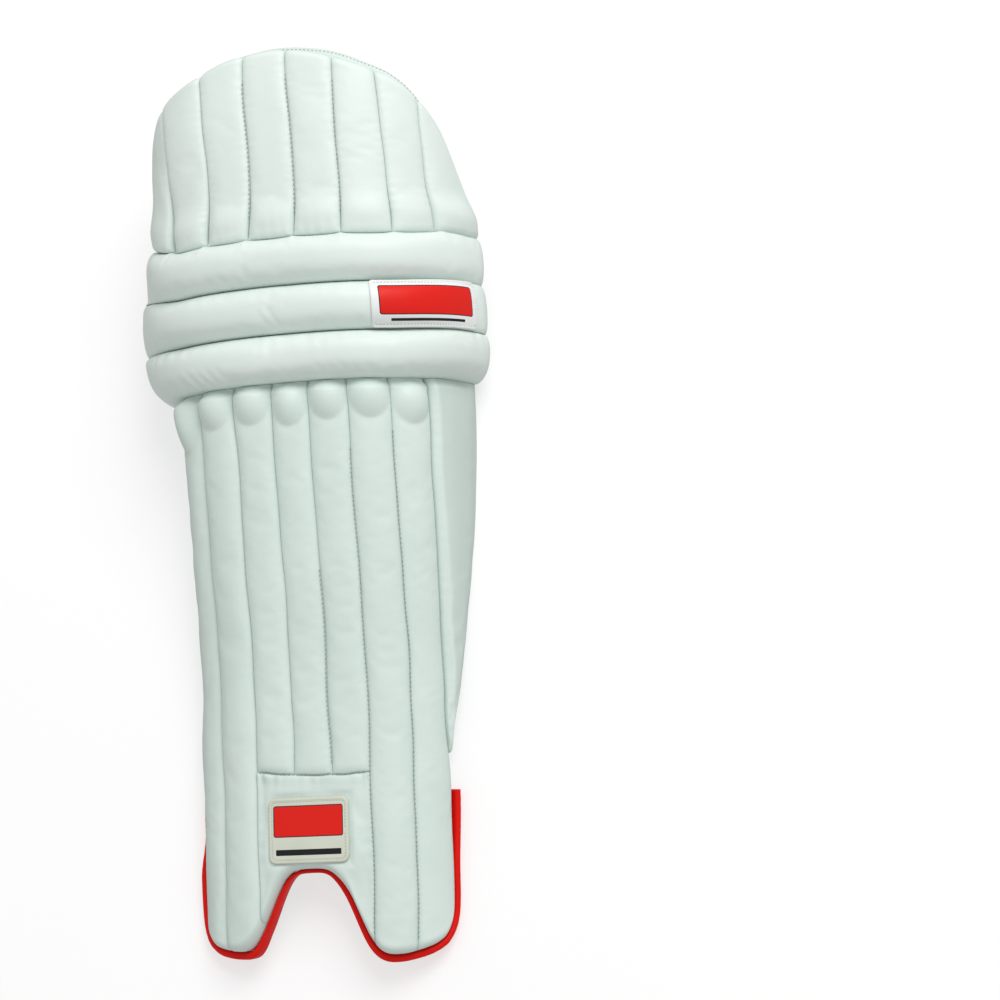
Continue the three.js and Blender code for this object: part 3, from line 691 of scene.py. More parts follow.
def hold_numbers(mesh, numbers):
    """Stores arrays on the mesh's points: one number each, or three for a vector."""
    for name, values in numbers.items():
        values = np.asarray(values, np.float32).reshape(len(mesh.vertices), -1)
        kind, field = ("FLOAT", "value") if values.shape[1] == 1 else ("FLOAT_VECTOR", "vector")
        attribute = mesh.attributes.new(name, kind, "POINT")
        attribute.data.foreach_set(field, values.ravel())


SHARP_ANGLE = np.radians(55)


def wrapped(front, behind):
    """Rings that run over a front and back behind it: each row, then the same row behind it, reversed."""
    return np.concatenate([front, behind[:, ::-1]], axis=1)


def strip_ends(count, around):
    """Faces that fill the first and last ring of a sheet, where each point of the front has its
    own point behind."""
    here = np.arange(around // 2 - 1)
    last = (count - 1) * around
    first_end = np.stack([here + 1, here, around - 1 - here, around - 2 - here], axis=-1)
    last_end = np.stack([here, here + 1, around - 2 - here, around - 1 - here], axis=-1) + last
    return np.concatenate([first_end, last_end])


def ring_piece(name, rings, finish, numbers=None, sheet=False):
    """A closed piece from an array of rings (ring, point, xyz) in metres, with its finish and numbers. The
    rings of a sheet run over its front and back behind it."""
    count, around, _ = rings.shape
    points = rings.reshape(-1, 3)
    quads = ring_faces(count, around)
    caps = [np.arange(around)[::-1], (count - 1) * around + np.arange(around)]
    if sheet:
        quads = np.concatenate([quads, strip_ends(count, around)])
        caps = []
    if volume_of(points, quads) < 0:
        quads = quads[:, ::-1]
        caps = [cap[::-1] for cap in caps]
    mesh = mesh_from_faces(name, points, quads, caps)
    hold_numbers(mesh, numbers or {})
    mesh.set_sharp_from_angle(angle=SHARP_ANGLE)
    mesh.materials.append(finish)
    piece = put_in_scene(name, mesh)
    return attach(piece, "root")


def triangles_of(piece):
    """How many triangles a piece's faces make."""
    sizes = np.empty(len(piece.data.polygons), np.int32)
    piece.data.polygons.foreach_get("loop_total", sizes)
    return int((sizes - 2).sum())


print("an edge is sharp from", round(float(np.degrees(SHARP_ANGLE))), "degrees")

# %% [markdown]
# ## How padding rounds, wanders and gathers
# Five small formulas shape every padded piece. A pillow is 0 at both edges and 1 between them. A
# shoulder climbs along a quarter circle. Wandering adds the slow wobble of a hand-guided seam, dents do
# the same over the skin, and gathers are the little folds that a tight row of stitches pulls into the
# leather. The last three are drawn at random from a seed of their own and the piece's number, so each
# run gives the same guard.


# %% Profiles
def pillow(t, squareness):
    """0 at both edges and 1 in the middle, flatter with a higher squareness: a superellipse."""
    return np.maximum(1 - np.abs(2 * t - 1) ** squareness, 0) ** (1 / squareness)


def shoulder(distance, length):
    """Climbs from 0 to 1 over one length along a quarter circle, and stays there."""
    t = np.clip(distance / length, 0, 1)
    return np.sqrt(1 - (1 - t) ** 2)


def even_steps(count):
    """Steps from 0 to 1, all alike."""
    return np.linspace(0, 1, count + 1)


def running_length(line):
    """Distance along a line of points from its first one: the running sum of its steps."""
    steps = np.linalg.norm(np.diff(line, axis=0), axis=1)
    return np.concatenate([[0], np.cumsum(steps)])


def edge_steps(count):
    """Steps from 0 to 1 that crowd towards both ends: half a cosine."""
    return (1 - np.cos(np.pi * even_steps(count))) / 2


print("pillow at a quarter:", round(float(pillow(0.25, 5)), 3))
print("shoulder at half its length:", round(float(shoulder(5, 10)), 3))

# %% Unevenness
WAVES = 6
WAVE_SPREAD = (0.6, 1.9)
FOLD_DRIFT = 1.6
FOLD_STRENGTH = 0.5
MOST_STRENGTH = 1.4
FOLD_RUN = {"drift": 5, "strength": 8}


def wander(at, size, length, seed, piece=0):
    """Sum of six sine waves with random phases and lengths near the given one, over the root
    of their number."""
    rng = np.random.default_rng(seed + piece)
    lengths = length * rng.uniform(*WAVE_SPREAD, WAVES)
    phases = rng.uniform(0, 2 * np.pi, WAVES)
    turns = 2 * np.pi * np.asarray(at)[..., None] / lengths + phases
    return size * np.sin(turns).sum(axis=-1) / np.sqrt(WAVES)


def dents(s, v, size, length, seed, piece=0):
    """The same sum over the skin, with each wave running in a random direction."""
    rng = np.random.default_rng(seed + piece)
    lengths = length * rng.uniform(*WAVE_SPREAD, WAVES)
    headings = rng.uniform(0, 2 * np.pi, WAVES)
    phases = rng.uniform(0, 2 * np.pi, WAVES)
    along = np.multiply.outer(s, np.cos(headings)) + np.multiply.outer(v, np.sin(headings))
    return size * np.sin(2 * np.pi * along / lengths + phases).sum(axis=-1) / np.sqrt(WAVES)


def gathers(along, away, size, pitch, reach, seed, piece=0):
    """Folds across a seam: a wave of about one pitch along it, whose strength varies and fades with the
    distance away from the seam."""
    drift = wander(along, FOLD_DRIFT, FOLD_RUN["drift"] * pitch, seed, piece)
    strength = FOLD_STRENGTH + wander(along, FOLD_STRENGTH, FOLD_RUN["strength"] * pitch, seed + 1, piece)
    wave = np.sin(2 * np.pi * along / pitch + drift)
    return size * wave * np.clip(strength, 0, MOST_STRENGTH) * np.exp(-away / reach)


print("waves in each sum:", WAVES)

# %% [markdown]
# ## Padded pieces
# A padded piece is a front sheet on the skin and a plain back against the backing sheet. Its front is
# a function of two parameters: a runs across and b along, and it returns s, v, n and the number for
# seams and painted shade. Written that way, the same function gives a fine grid for the mesh and a coarse
# one for the cloth simulation.

# %% Padded pieces
FRONTS = {}
SEAM_FADE = 0.8
SEAM_HOLD = 1.5


def near_seam(distance):
    """1 on a sewn edge, fading within two millimetres."""
    return np.exp(-distance / SEAM_FADE)


def padded_piece(name, front, columns, rows, lift=0.0, fill=0.7):
    """Evaluates a front on its fine grid, adds what the simulation moved, closes it with a back at the
    depth of the padding and replaces the solid."""
    a, b = np.meshgrid(columns, rows)
    s, v, n, seam = front(a, b)
    points = at_rest(place(s, v, n)) + moved_by_stuffing(name, columns, rows)
    points[..., 2] = np.maximum(points[..., 2], 0)
    rings = wrapped(points, at_rest(place(s, v, lift - depth(s))))
    numbers = {"seam": wrapped(seam, np.ones_like(seam))}
    # Knee rolls and thigh channels take the paler copy, painted light for the brighter end of the guard.
    finish = lit_knee_leather if name.startswith(("top_roll", "knee_roll")) else white_leather
    piece = ring_piece(name + "_cover", rings, finish, numbers, sheet=True)
    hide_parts(name)
    return piece


print("a seam has faded to a tenth at", round(float(-SEAM_FADE * np.log(0.1)), 1), "millimetres")

# %% [markdown]
# ## Shapes of the face
# Here each family of pieces gets its front. The canes are flat-topped channels that end in a rounded
# knuckle under the knee rolls. The wings lie flat and fold back, the right one behind a raised strip beside
# the outer seam. The knee rolls are fat half-round bolsters, and the thigh piece is a row of flat channels
# that puff up at their lower ends.

# %% Knee and thigh lines
ROLL = {"edge": -4, "rise": 13, "squareness": 2.3, "end": 18, "end_flat": 2.5}
SIDE_SPAN = (80, 150)
DROOP = 4
DROOP_AT = 120
LEFT_LIFT = {"low": -3, "high": 12}
RIGHT_LIFT = {"low": 2, "high": 4}
KNEE_ROLLS = {
    "lower": {"low": 438, "high": 474, "left": -177, "right": 181, "end_height": 0.9},
    "middle": {"low": 474, "high": 510.5, "left": -164, "right": 180, "end_height": 0.95},
    "upper": {"low": 510.5, "high": 547, "left": -151, "right": 182, "end_height": 0.95},
}
SIDE_EDGES = {
    "lower": {"left": (-6, 10), "right": (-5, 5)},
    "middle": {"left": (8.5, 8.5), "right": (7, 7)},
    "upper": {"left": (12, -1), "right": (2, 5)},
}
SIDE_RISE = {
    "lower": {"left": 15, "right": 13},
    "middle": {"left": 13, "right": 12},
    "upper": {"left": 7, "right": 11},
}
THIGH_LOW = np.array([-142, -95, -57.5, -22, 15, 52.5, 92.5, 131.5, 183])
THIGH_HIGH = np.array([-142, -98.5, -55.5, -18.5, 16, 52.5, 86, 122, 183])
SCALLOP = 1.6


def sideways(s):
    """0 over the front of the knee and 1 at its sides."""
    return ramp_between(s, *SIDE_SPAN)


def droop(s, v=KNEE_ROLLS["lower"]["low"]):
    """The knee lines hang lower towards the sides: a parabola. At both ends they fan out, so they are
    lifted there by a step that grows with v."""
    share = (v - KNEE_ROLLS["lower"]["low"]) / (KNEE_ROLLS["upper"]["high"] - KNEE_ROLLS["lower"]["low"])
    lift = blend(LEFT_LIFT["low"], LEFT_LIFT["high"], share) * sideways(-s)
    lift = lift + blend(RIGHT_LIFT["low"], RIGHT_LIFT["high"], share) * sideways(s)
    return DROOP * (s / DROOP_AT) ** 2 - lift


def share_between(at, seams):
    """How far each place is from the seam on its left to the one on its right, from 0 to 1."""
    k = np.clip(np.searchsorted(seams, at, side="right") - 1, 0, len(seams) - 2)
    return np.clip((at - seams[k]) / (seams[k + 1] - seams[k]), 0, 1)


def knee_low(s):
    """Lower edge of the knee rolls."""
    return KNEE_ROLLS["lower"]["low"] - droop(s)


def knee_high(s):
    """Upper edge of the knee rolls, pushed down in shallow arcs by the ends of the thigh channels."""
    high = KNEE_ROLLS["upper"]["high"]
    return high - droop(s, high) - SCALLOP * (pillow(share_between(s, THIGH_LOW), 2) - 0.5)


print("knee rolls from", KNEE_ROLLS["lower"]["low"], "to", KNEE_ROLLS["upper"]["high"], "along the guard")

# %% Shin canes
SHIN_SEAMS = np.array([-115, -82.5, -46, -14, 15.5, 46.5, 80.5, 115])
SEAM_WOBBLE = {"size": 0.55, "length": 90, "seed": 40}
OUTER_DRIFT = {0: 3, len(SHIN_SEAMS) - 1: 4}
DRIFT_IN = (120, 180)
DRIFT_OUT = (400, 200)
CANE = {"valley": -3.1, "fall": 3.2, "crown": 0.7, "end": 8, "dents_from": 6}
CANE_DENTS = {"size": 0.15, "length": 80, "seed": 100}
CANE_GATHERS = {"size": 0.1, "pitch": 7, "reach": 3.5, "seed": 120}
ROUNDER_CANES = {1: 2.0, 2: 1.9, 3: 1.5, 4: 1.0}
# Share of painted shade on the left side of the first canes, which turn away from the light.
SHADED_CANES = {1: 0.5, 2: 0.12}
SHADE_SPAN = (0.75, 0.25)
CANE_TOP = {"deep": 5, "long": 8}
FOOT_EDGE = {"level": -11, "above_backing": 3}
KNUCKLE = {"v": 425.5, "down": 18, "up": 16, "rise": 6.2, "reach": 0.95, "power": 1.15}
KNUCKLE_CLEAR = (8, 28)
LOWER_KNUCKLES = {4: 3, 7: 5}
FULLER_KNUCKLES = {1: 2.5}
LONGER_KNUCKLES = {1: 14}
SHORT_CANES = (3, 4, 5)
INSTEP_SAG = {"deep": 1.7, "tilt": 0.035, "bend": 0.001, "dip": 0.6}
INSTEP_WOBBLE = {"size": 0.25, "length": 28, "seed": 71}


def seam_line(number, v):
    """Where a shin seam runs: straight along the guard, with the slow wobble of the needle. Above the ankle
    the two outer seams drift to the left."""
    drift = OUTER_DRIFT.get(number, 0) * ramp_between(v, *DRIFT_IN) * ramp_between(v, *DRIFT_OUT)
    return SHIN_SEAMS[number] + wander(v, **SEAM_WOBBLE, piece=number) - drift


def between_seams(first, last, v, a):
    """From just right of one shin seam to just left of another, at the place v along the guard."""
    return blend(seam_line(first, v) + GAP / 2, seam_line(last, v) - GAP / 2, a)


def foot_between(first, last, a):
    """The foot edge from one shin seam to another, taken where the wobbling seams really meet it."""
    straight = blend(SHIN_SEAMS[first], SHIN_SEAMS[last], a)
    return foot_at(between_seams(first, last, foot_at(straight), a))


def instep_top(s):
    """The sewn line above the arch: a tilted sag, with small dips between the seams and a wobble."""
    dip = INSTEP_SAG["dip"] * (pillow(share_between(s, SHIN_SEAMS), 2) - 0.5)
    sag = INSTEP_SAG["deep"] + INSTEP_SAG["tilt"] * s - INSTEP_SAG["bend"] * s**2
    return INSTEP["top"] - sag - dip + wander(s, **INSTEP_WOBBLE)


def knuckle(number, across, v):
    """Dome under the knee roll: an ellipsoid with a soft foot. Some canes have a lower, fuller
    or longer one."""
    above = v - KNUCKLE["v"] + LOWER_KNUCKLES.get(number, 0)
    down = KNUCKLE["down"] + LONGER_KNUCKLES.get(number, 0)
    along = above / np.where(above < 0, down, KNUCKLE["up"])
    out = (across / KNUCKLE["reach"]) ** 2 + along**2
    rise = KNUCKLE["rise"] + FULLER_KNUCKLES.get(number, 0)
    return rise * np.maximum(1 - out, 0) ** KNUCKLE["power"]


def below_knuckle(v):
    """1 along a cane and 0 on its knuckle, which is filled hard and stays smooth."""
    return ramp_between(KNUCKLE["v"] - v, *KNUCKLE_CLEAR)


def under_roll(s, v):
    """How far the leather dives under the lower knee roll: a smooth step over its last few millimetres."""
    return CANE_TOP["deep"] * ramp((v - knee_low(s) + CANE_TOP["long"]) / CANE_TOP["long"])


def foot_level(s):
    """How far the face rounds down at the foot edge, towards the binding."""
    return np.maximum(FOOT_EDGE["level"], FOOT_EDGE["above_backing"] - depth(s))


def cane_front(number):
    """Front of one cane: a flat top that falls off exponentially into the valleys beside it, rounds down at
    the foot along a quarter circle and dives under the lower knee roll, with its knuckle on top."""
    short = number in SHORT_CANES
    seams = (number - 1, number)

    def front(a, b):
        straight = blend(SHIN_SEAMS[number - 1], SHIN_SEAMS[number], a)
        low = instep_top(straight) + GAP / 2 if short else foot_between(*seams, a)
        v = blend(low, knee_low(straight) - GAP, b)
        s = between_seams(*seams, v, a)
        beside = (s - between_seams(*seams, v, 0), between_seams(*seams, v, 1) - s)
        aside = np.minimum(*beside)
        crown = ROUNDER_CANES.get(number, CANE["crown"])
        face = CANE["valley"] * np.exp(-aside / CANE["fall"]) - crown * (1 - pillow(a, 2))
        end = CANE["valley"] - crown if short else foot_level(s)
        n = blend(end, face, shoulder(v - low, CANE["end"])) + knuckle(number, 2 * a - 1, v + droop(s))
        inside = ramp(aside / CANE["dents_from"]) * below_knuckle(v + droop(s))
        n = n + dents(s, v, **CANE_DENTS, piece=number) * inside - under_roll(s, v)
        for k, away in enumerate(beside):
            n = n + gathers(v, away, **CANE_GATHERS, piece=2 * number + k) * ramp(away / SEAM_HOLD)
        # Painted shade on the left side of the first canes, carried in the seam number.
        tone_shift = SHADED_CANES.get(number, 0) * ramp_between(a, *SHADE_SPAN)
        return s, v, n, np.maximum(near_seam(aside), tone_shift)

    return front


for number in range(1, len(SHIN_SEAMS)):
    FRONTS[f"shin_cane_{number}"] = cane_front(number)
print("cane widths:", np.diff(SHIN_SEAMS))

# %% Instep panel
INSTEP_LIP = {"rise": 1.5, "in": 2, "half": 5, "ends": 8}
INSTEP_DENTS = {"size": 0.5, "length": 38, "seed": 160}
DENTS_FROM = {"side": 6, "top": 8}
INSTEP_TOP_GATHERS = {"size": 1.2, "pitch": 7.5, "reach": 6, "seed": 161}
INSTEP_SIDE_GATHERS = {"size": 0.4, "pitch": 10, "reach": 5, "seed": 163}
LABEL_CLEAR = 5


def instep_front(a, b):
    """Front of the panel over the arch: a flat face that falls to its sides and top as a superellipse and
    to the foot along a quarter circle, with a lip and tight gathers below its upper seam."""
    first, last = SHORT_CANES[0] - 1, SHORT_CANES[-1]
    low = foot_between(first, last, a)
    high = instep_top(blend(SHIN_SEAMS[first], SHIN_SEAMS[last], a)) - GAP / 2
    v = blend(low, high, b)
    s = between_seams(first, last, v, a)
    aside = np.minimum(s - between_seams(first, last, v, 0), between_seams(first, last, v, 1) - s)
    down = high - v
    sides = pillow(a, INSTEP["squareness"]) * pillow((1 + b) / 2, INSTEP["squareness"])
    face = blend(INSTEP["edge"], INSTEP["flat"], sides)
    n = blend(foot_level(s), face, shoulder(v - low, CANE["end"]))
    lip = np.exp(-(((down - INSTEP_LIP["in"]) / INSTEP_LIP["half"]) ** 2)) * ramp(down / SEAM_HOLD)
    n = n + INSTEP_LIP["rise"] * lip * ramp(aside / INSTEP_LIP["ends"])
    free = label_clear(s, v)
    inside = ramp(aside / DENTS_FROM["side"]) * ramp(down / DENTS_FROM["top"]) * free
    n = n + dents(s, v, **INSTEP_DENTS) * inside
    top_folds = gathers(s, down, **INSTEP_TOP_GATHERS)
    side_folds = gathers(v, aside, **INSTEP_SIDE_GATHERS)
    n = n + top_folds * ramp(down / SEAM_HOLD) + side_folds * ramp(aside / SEAM_HOLD) * free
    return s, v, n, near_seam(np.minimum(aside, down))


def label_clear(s, v):
    """0 under the instep patch and 1 a little outside it, so that the leather lies flat below the patch."""
    beside = np.abs(s - INSTEP_LABEL["s"]) - INSTEP_LABEL["width"] / 2
    above = np.abs(v - INSTEP_LABEL["v"]) - INSTEP_LABEL["height"] / 2
    return ramp(np.maximum(beside, above) / LABEL_CLEAR)


FRONTS["instep_panel"] = instep_front
print("instep panel up to", INSTEP["top"])

# %% Wings
WING = {
    "low": 150,
    "end": 14,
    "edge": -4.5,
    "squareness": 4,
    "strip": 5,
    "fall": 30,
    "crease": 0.03,
    "ridge_from": 80,
    "dive_from": 30,
    "dents_from": 10,
    # Share of painted shade on the flat behind the strip, which turns away from the light.
    "tone_shift": 0.55,
    "shade_from": 4,
}
WING_DENTS = {"size": 0.45, "length": 80, "seed": 180}
WING_GATHERS = {"size": 0.3, "pitch": 8, "reach": 4, "seed": 190}
WING_FLAT = {1: 0, -1: -3}
WING_RIDGE = {1: 3.2, -1: 0}


def wing_front(side):
    """Front of one wing: a superellipse face with a ridge beside the outer seam, which is flat on the left.
    The ridge is the lesser of a steep climb over the strip and a slow fall behind it, joined by a soft
    minimum so that its crease is round."""

    def front(a, b):
        along = blend(WING["low"], knee_low(SHIN_SEAMS[-1]), b)
        inner = (seam_line(len(SHIN_SEAMS) - 1, along) if side > 0 else -seam_line(0, along)) + GAP
        edge = (right_at(along) if side > 0 else -left_at(along)) - GAP
        out = blend(inner, edge, a)
        v = blend(WING["low"], knee_low(side * out) - GAP, b)
        aside = out - inner
        rising = aside / WING["strip"]
        falling = 1 - (aside - WING["strip"]) / WING["fall"]
        ridge = -np.logaddexp(-rising / WING["crease"], -falling / WING["crease"]) * WING["crease"]
        ridge = WING_RIDGE[side] * ridge * ramp((v - WING["low"]) / WING["ridge_from"])
        face = blend(WING["edge"], WING_FLAT[side], pillow(a, WING["squareness"]))
        n = face + ridge - under_roll(side * out, v) * ramp((edge - out) / WING["dive_from"])
        inside = ramp(np.minimum(aside, edge - out) / WING["dents_from"])
        n = n + dents(side * out, v, **WING_DENTS, piece=side) * inside
        folds = gathers(v, aside, **WING_GATHERS, piece=side)
        n = n + folds * ramp(aside / SEAM_HOLD)
        n = blend(2 * WING_GAP - depth(out), n, shoulder(v - WING["low"], WING["end"]))
        # Painted shade on the flat of each wing behind the strip, carried in the seam number.
        tone_shift = WING["tone_shift"] * ramp((aside - WING["strip"]) / WING["shade_from"])
        return side * out, v, n, np.maximum(near_seam(aside), tone_shift)

    return front


FRONTS["wing_left"] = wing_front(-1)
FRONTS["wing_right"] = wing_front(1)
print("wing strip", WING["strip"], "wide beside the outer seam")

# %% Knee rolls
KNEE_LABEL = {"s": 112, "width": 84, "radius": 2.4, "margin": 0.01, "flat_from": 0.06, "clear": 6}
SCALLOP_FROM = 0.6
ROLL_DENTS = {"size": 0.35, "length": 70, "seed": 300}
ROLL_SEAM_SHARE = 0.7
PUCKERS = {"lower": 1.1, "middle": 0.25, "upper": 0.3}
LOW_PUCKERS = {"pitch": 11, "reach": 4.5, "seed": 301}
HIGH_PUCKERS = {"pitch": 12, "reach": 6, "seed": 303}
PUCKER_SLANT = 0.6
PUCKER_HOLD = 2
LEAST_TIGHT = 0.4
TIGHT_SPAN = (-10, -50)


def roll_end(roll, s):
    """0 at the ends of a knee roll and 1 along it."""
    return shoulder(np.minimum(s - roll["left"], roll["right"] - s), ROLL["end"])


def roll_height(roll, s, b):
    """Place along the guard of a point of a roll's section, narrower at the round ends."""
    middle = (roll["low"] + roll["high"]) / 2
    half = (roll["high"] - roll["low"] - GAP) / 2
    v = middle + half * (2 * b - 1) * blend(roll["end_height"], 1, roll_end(roll, s))
    return v - droop(s, v)


def roll_rise(name, s, b):
    """Front of a roll over the skin: a half-round pillow whose ends are closed by a quarter round. Towards
    the sides its lower edge, its middle and its upper edge have their own heights."""
    roll = KNEE_ROLLS[name]
    edges = SIDE_EDGES[name]
    low, high = (
        blend(blend(ROLL["edge"], to_right, sideways(s)), to_left, sideways(-s))
        for to_left, to_right in zip(edges["left"], edges["right"])
    )
    rise = blend(ROLL["rise"], SIDE_RISE[name]["right"], sideways(s))
    rise = blend(rise, SIDE_RISE[name]["left"], sideways(-s))
    top = blend(np.where(b < 0.5, low, high), rise, pillow(b, ROLL["squareness"]))
    return blend(ROLL["end_flat"] - depth(s), top, roll_end(roll, s))


def roll_front(name):
    """Front of one knee roll: its rise, with slow dents and with puckers along both edges. Those along the
    lower edge slant, and are tighter towards the left."""
    roll = KNEE_ROLLS[name]
    piece = 10 * list(KNEE_ROLLS).index(name)
    size = PUCKERS[name]
    height = roll["high"] - roll["low"]

    def front(a, b):
        s = blend(roll["left"], roll["right"], b)
        v = roll_height(roll, s, a)
        if name == "upper":
            v = v + (knee_high(s) - roll["high"] + droop(s, roll["high"])) * ramp_between(a, SCALLOP_FROM, 1)
        from_low = a * height
        from_high = (1 - a) * height
        free = roll_end(roll, s) * patch_clear(name, s)
        n = roll_rise(name, s, a) + dents(s, v, **ROLL_DENTS, piece=piece) * pillow(a, 2) * free
        tight = blend(LEAST_TIGHT, 1, ramp_between(s, *TIGHT_SPAN))
        slanted = s + PUCKER_SLANT * from_low
        low_folds = gathers(slanted, from_low, size * tight, **LOW_PUCKERS, piece=piece)
        high_folds = gathers(s, from_high, size / 2, **HIGH_PUCKERS, piece=piece)
        n = n + low_folds * ramp(from_low / PUCKER_HOLD) * free
        n = n + high_folds * ramp(from_high / PUCKER_HOLD) * free
        return s, v, n, near_seam(np.minimum(from_low, from_high)) * ROLL_SEAM_SHARE

    return front


def patch_clear(name, s):
    """0 under the patch on the middle roll and 1 a little outside it."""
    beside = np.abs(s - KNEE_LABEL["s"]) - KNEE_LABEL["width"] / 2
    return ramp(beside / KNEE_LABEL["clear"]) if name == "middle" else np.ones_like(s)


for roll_name in KNEE_ROLLS:
    FRONTS[f"knee_roll_{roll_name}"] = roll_front(roll_name)
print("knee rolls:", list(KNEE_ROLLS))

# %% Thigh channels
THIGH = {
    "valley": -2.6,
    "fall": 2.0,
    "crown": 0.6,
    "notch": 1.8,
    "notch_reach": 2.5,
    "rim": 4,
    "right_rim": 3,
    "rim_sink": 0.5,
    "low_end": 6,
    "top_end": 6,
    "puff": 3.2,
    "puff_at": 15,
    "puff_half": 12,
    "pleat_half": 7,
    "dents_from": 6,
    "low_hold": 2,
    "corner": 3,
}
THIGH_LENGTH = 140
THIGH_WOBBLE = {"size": 0.22, "length": 70, "seed": 400}
THIGH_DENTS = {"size": 0.2, "length": 60, "seed": 420}
THIGH_SIDE_GATHERS = {"size": 0.25, "pitch": 7, "reach": 3.5, "seed": 440}
THIGH_LOW_GATHERS = {"size": 0.6, "pitch": 9, "reach": 7, "seed": 460}
RIM_SPAN = (10, 70)
FILL_SPAN = (0.85, 0.15)
PLEAT_SPAN = (0.5, 0)
BOW_POWER = 1.6
THIGH_PLEATS = {1: 1.5, 2: 3.5, 3: 2.5, 4: 1.2}
SIDE_PUFFS = {1: -1.5, 8: 1.8}
SIDE_FILL = {1: (-3, 2), 8: (0, 3)}
THIGH_BOWS = {1: 3.2, 2: 4.4, 3: 4.4, 4: 3.9, 5: 1.4, 6: 0.9, 7: -2}


def thigh_seam(number, b):
    """A thigh seam from its lower to its upper end: a straight line with a bow that is widest in its lower
    third, and a slow wobble. The two outer edges stay straight."""
    straight = blend(THIGH_LOW[number], THIGH_HIGH[number], b)
    bow = THIGH_BOWS.get(number, 0) * np.sin(np.pi * (1 - (1 - b) ** BOW_POWER))
    wobble = wander(b * THIGH_LENGTH, **THIGH_WOBBLE, piece=number)
    return straight + bow + wobble * (number in THIGH_BOWS)


def thigh_rim(s):
    """How far the channels end below the top edge: the tape shows more on the right."""
    return THIGH["rim"] + THIGH["right_rim"] * ramp_between(s, *RIM_SPAN)


def thigh_front(number):
    """Front of one thigh channel: flat, with exponential valleys at its seams, a bell-shaped puff above its
    lower end, a pleat beside its left seam, and quarter rounds at both ends."""

    def front(a, b):
        left = thigh_seam(number - 1, b) + GAP / 2
        right_edge = thigh_seam(number, b) - GAP / 2
        s = blend(left, right_edge, a)
        aside = np.minimum(s - left, right_edge - s)
        low = knee_high(s) + GAP
        high = top_at(s) - thigh_rim(s) - THIGH["notch"] * np.exp(-aside / THIGH["notch_reach"])
        v = blend(low, high, b)
        top_end = shoulder(high - v, THIGH["top_end"])
        low_end = shoulder(v - low, THIGH["low_end"])
        rim = -THIGH["rim_sink"] * depth(s)
        puff = THIGH["puff"] + SIDE_PUFFS.get(number, 0)
        puff = puff * np.exp(-(((v - low - THIGH["puff_at"]) / THIGH["puff_half"]) ** 2))
        fill = blend(*SIDE_FILL.get(number, (0, 0)), ramp_between(b, *FILL_SPAN))
        pleat = THIGH_PLEATS.get(number, 0) * ramp_between(b, *PLEAT_SPAN)
        face = THIGH["valley"] * np.exp(-aside / THIGH["fall"]) - THIGH["crown"] * (1 - pillow(a, 2))
        face = face - pleat * np.exp(-(((s - left) / THIGH["pleat_half"]) ** 2))
        face = np.maximum(face + (puff + fill) * pillow(a, 2), rim)
        n = blend(rim, face, top_end)
        n = blend(np.maximum(THIGH["valley"] - THIGH["crown"], rim), n, low_end)
        inside = ramp(aside / THIGH["dents_from"]) * top_end * low_end
        n = n + dents(s, v, **THIGH_DENTS, piece=number) * inside
        side_folds = gathers(v, aside, **THIGH_SIDE_GATHERS, piece=number)
        low_folds = gathers(s, v - low, **THIGH_LOW_GATHERS, piece=number)
        n = n + side_folds * ramp(aside / SEAM_HOLD)
        n = n + low_folds * ramp((v - low) / THIGH["low_hold"]) * ramp(aside / THIGH["corner"])
        return s, v, n, near_seam(np.minimum(np.minimum(aside, high - v), v - low))

    return front


for number in range(1, len(THIGH_LOW)):
    FRONTS[f"top_roll_{number}"] = thigh_front(number)
print("padded fronts:", len(FRONTS))

# %% [markdown]
# ## Stuffing the padded pieces
# Real padding pushes the leather out between its seams, and the slack in it falls into soft folds. That is
# what a cloth simulation does well: each front becomes a sheet on a coarse grid, held along its edges, cut
# a little larger than its place and pushed from behind by a pressure. All sheets run together for a few
# frames. The movement is capped and carried to the fine grid with a smooth kernel, so seams stay crisp.

# %% Cloth simulation
STUFFING = {
    "shin_cane": {"cell": 4.0, "slack": 0.008, "cap": 0.45},
    "instep_panel": {"cell": 4.5, "slack": 0.012, "cap": 1.2},
    "wing": {"cell": 5.5, "slack": 0.006, "cap": 1.0},
    "knee_roll": {"cell": 3.2, "slack": 0.014, "cap": 0.5},
    "top_roll": {"cell": 3.8, "slack": 0.010, "cap": 0.3},
}
STUFFING_FRAMES = 20
CLOTH = {
    "quality": 6,
    "mass": 0.1,
    "tension_stiffness": 20,
    "compression_stiffness": 12,
    "shear_stiffness": 8,
    "bending_stiffness": 0.4,
    "vertex_group_mass": "held",
    "use_pressure": True,
    "uniform_pressure_force": 4.0,
}
FEWEST_CELLS = 6
MIDDLE_STEPS = 59
EDGE_SQUARENESS = 6
stuffed = {}


def row_for(table, name):
    """The first row of a table whose key the piece's name starts with. An empty key fits every name."""
    return next(facts for start, facts in table.items() if name.startswith(start))


def middle_length(name, across):
    """Length of a front's middle row or column: the sum of its short steps in space."""
    steps = even_steps(MIDDLE_STEPS)
    middle = np.full_like(steps, 0.5)
    a, b = (steps, middle) if across else (middle, steps)
    return running_length(place(*FRONTS[name](a, b)[:3]))[-1]


def coarse_grid(name):
    """Even steps whose cells are about the wanted size, from the lengths of the front's middle
    row and column."""
    cells = [middle_length(name, across) / row_for(STUFFING, name)["cell"] for across in (True, False)]
    return [even_steps(max(int(round(count)), FEWEST_CELLS)) for count in cells]


